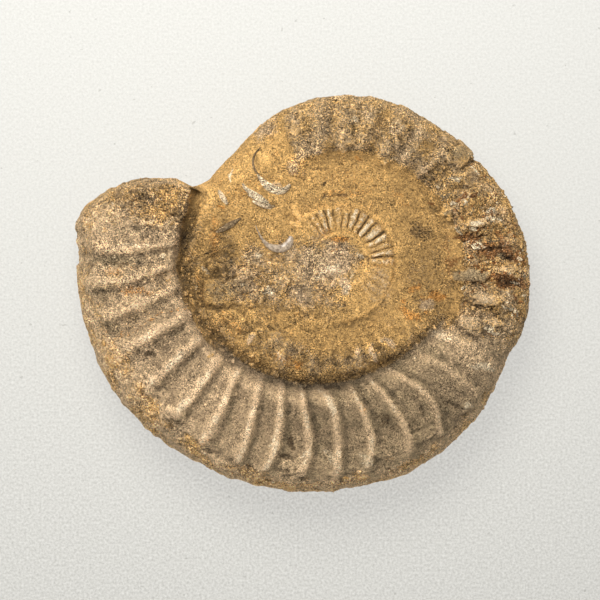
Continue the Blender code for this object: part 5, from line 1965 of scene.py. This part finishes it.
@dataclass(frozen=True)
class FloorFinish:
    """Pale plaster with a fine tooth. It glows with painted light, strongest under a point above +Y and fading away
    from it, which keeps shadows on it pale.
    """

    colour: Colour = linear(112, 111, 105)
    painted_glow_colour: Colour = (0.95, 0.94, 0.9, 1)
    # Painted light: how strongly the floor shines of itself, fading with distance from a point above it.
    painted_glow: float = 0.835
    painted_glow_from: Triple = (-0.08, 0.42, 0.95)
    painted_glow_falloff: float = 3
    tooth: float = 900  # in a metre
    contrast: float = 0.62
    rough_between: Pair = (0.06, -0.14)  # places between which the tooth grows rougher
    rougher: float = 2.2
    specks: float = 260
    speck_shade: float = 0.72
    roughness: float = 0.9
    specular: float = 0.2
    bump: float = 0.8 * MM

    def material(self) -> bpy.types.Material:
        """The floor's material."""
        material, graph, shader, places = new_material("plaster")
        tooth = graph.noise(places, self.tooth, 4, 0.65)
        specks = graph.noise(places, self.specks, 2, 0.5)
        graph.feed(shader.inputs["Base Color"], self.colour)
        rough = graph.ramp(graph.add("ShaderNodeSeparateXYZ", None, {0: places}).outputs["Y"],
                           *self.rough_between, 1, self.rougher)
        toothed = graph.times(graph.math("SUBTRACT", tooth, 0.5), graph.times(rough, self.contrast))
        lit = graph.times(graph.math("ADD", 1, toothed), graph.ramp(specks, 0.71, 0.76, 1, self.speck_shade))
        shader.inputs["Roughness"].default_value = self.roughness
        shader.inputs["Specular IOR Level"].default_value = self.specular
        away = graph.add("ShaderNodeVectorMath", {"operation": "DISTANCE"}, {0: places, 1: self.painted_glow_from})
        near = graph.math("DIVIDE", self.painted_glow_from[2], away.outputs["Value"])
        near = graph.math("POWER", near, self.painted_glow_falloff)
        shader.inputs["Emission Color"].default_value = self.painted_glow_colour
        graph.feed(shader.inputs["Emission Strength"], graph.times(lit, graph.times(near, self.painted_glow)))
        graph.bump(shader, 0.6, self.bump, tooth)
        return material


@dataclass(frozen=True)
class Studio:
    """The floor, the lights and the camera."""

    floor_half: float = 2
    frame_width: float = 263.2 * MM  # what the picture takes in, at the height of the stone's edge
    frame_middle: Pair = (-0.88 * MM, -2.85 * MM)
    edge_height: float = 24 * MM
    camera_distance: float = 2.2
    sensor: float = 36  # mm
    clip: Pair = (0.1, 20)
    key_bearing: float = 110
    key_rise: float = 60
    key_distance: float = 0.8
    key_size: float = 0.5
    key_power: float = 7
    key_colour: Triple = (1, 0.985, 0.95)
    sky: float = 0.52
    sky_colour: Colour = (0.97, 0.985, 1, 1)

    def build(self) -> None:
        """Makes the floor, the lights and the camera."""
        half = self.floor_half
        corners = np.array([(-half, -half, 0), (half, -half, 0), (half, half, 0), (-half, half, 0)])
        floor = meshed("floor", corners, [(0, 1, 2, 3)], {}, smooth=False)
        floor.data.materials.append(FloorFinish().material())
        self.key_light()
        self.daylight()
        self.camera()

    def key_light(self) -> None:
        """A large soft lamp from the upper left of the picture."""
        bearing, rise = np.radians(self.key_bearing), np.radians(self.key_rise)
        lamp = bpy.data.lights.new("key", "AREA")
        lamp.shape, lamp.size, lamp.energy = "DISK", self.key_size, self.key_power
        lamp.color = self.key_colour
        key = linked("key", lamp)
        key.location = [self.key_distance * part for part in (
            np.cos(rise) * np.cos(bearing), np.cos(rise) * np.sin(bearing), np.sin(rise))]
        key.rotation_euler = (np.pi / 2 - rise, 0, bearing + np.pi / 2)
        key.visible_camera = False

    def daylight(self) -> None:
        """Even pale light from all round."""
        world = bpy.data.worlds.new("daylight")
        world.use_nodes = True
        back = world.node_tree.nodes["Background"]
        back.inputs["Color"].default_value = self.sky_colour
        back.inputs["Strength"].default_value = self.sky
        bpy.context.scene.world = world

    def camera(self) -> None:
        """A long lens, straight above."""
        lens = bpy.data.cameras.new("camera")
        lens.sensor_width = self.sensor
        lens.lens = self.sensor * self.camera_distance / self.frame_width
        lens.clip_start, lens.clip_end = self.clip
        camera = linked("camera", lens)
        camera.location = (*self.frame_middle, self.edge_height + self.camera_distance)
        bpy.context.scene.camera = camera
        bpy.context.scene.view_settings.view_transform = "Standard"


GRAINS = (
    Grains("coarse_grains", 1800, (1.6 * MM, 4.2 * MM), 51),
    Grains("fine_grains", 6000, (0.8 * MM, 1.8 * MM), 52),
    Grains("flakes", 800, (2.5 * MM, 9 * MM), 53, flatness=(0.12, 0.3), narrow=(0.2, 0.5), lean=0.2,
           bearings=(338, 400), crumbly_power=3, tone_spread=0.5, from_ratio=0.62, outward=2,
           stains=((Tint.PALE, 0.22, 0.7), (Tint.RUST, 0.35, 0.8), (Tint.GREY, 0.2, 0.8))),
    Grains("rim_flakes", 500, (2.5 * MM, 5.5 * MM), 54, flatness=(0.2, 0.4), narrow=(0.4, 0.9), lean=0.3,
           bearings=(150, 338), crumbly_power=3, tone_spread=0.3,
           stains=((Tint.PALE, 0.2, 0.5), (Tint.OCHRE, 0.3, 0.7), (Tint.DARK, 0.2, 0.5))),
)


def main() -> None:
    """Builds the stone and the studio, and says what was made."""
    logging.basicConfig(level=logging.INFO, format="%(name)s: %(message)s")
    Studio().build()
    finish = StoneFinish(grit_group(), crumbled_group()).material()
    maker = Stone()
    shaped = maker.shaped()
    stone = maker.build(shaped)
    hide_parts(NODE)
    pieces = [stone, *(grains.build(shaped) for grains in GRAINS)]
    pieces.append(InnerCoil(Stone(socket=0)).build())
    crusts = tuple(Sliver(path, shares) for shares, path in STONE_PATHS)
    pieces.append(Slivers("crusts", crusts).build(maker, shaped))
    nacre = Slivers("oyster", tuple(Sliver(path, {}) for path in NACRE_PATHS)).build(maker, shaped)
    pieces.append(nacre)
    for piece in pieces:
        piece.data.materials.append(NacreFinish().material() if piece is nacre else finish)
        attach(piece, "root")
        log.info("%s: %d points, %d faces", piece.name, len(piece.data.vertices), len(piece.data.polygons))


if __name__ == "__main__":
    main()
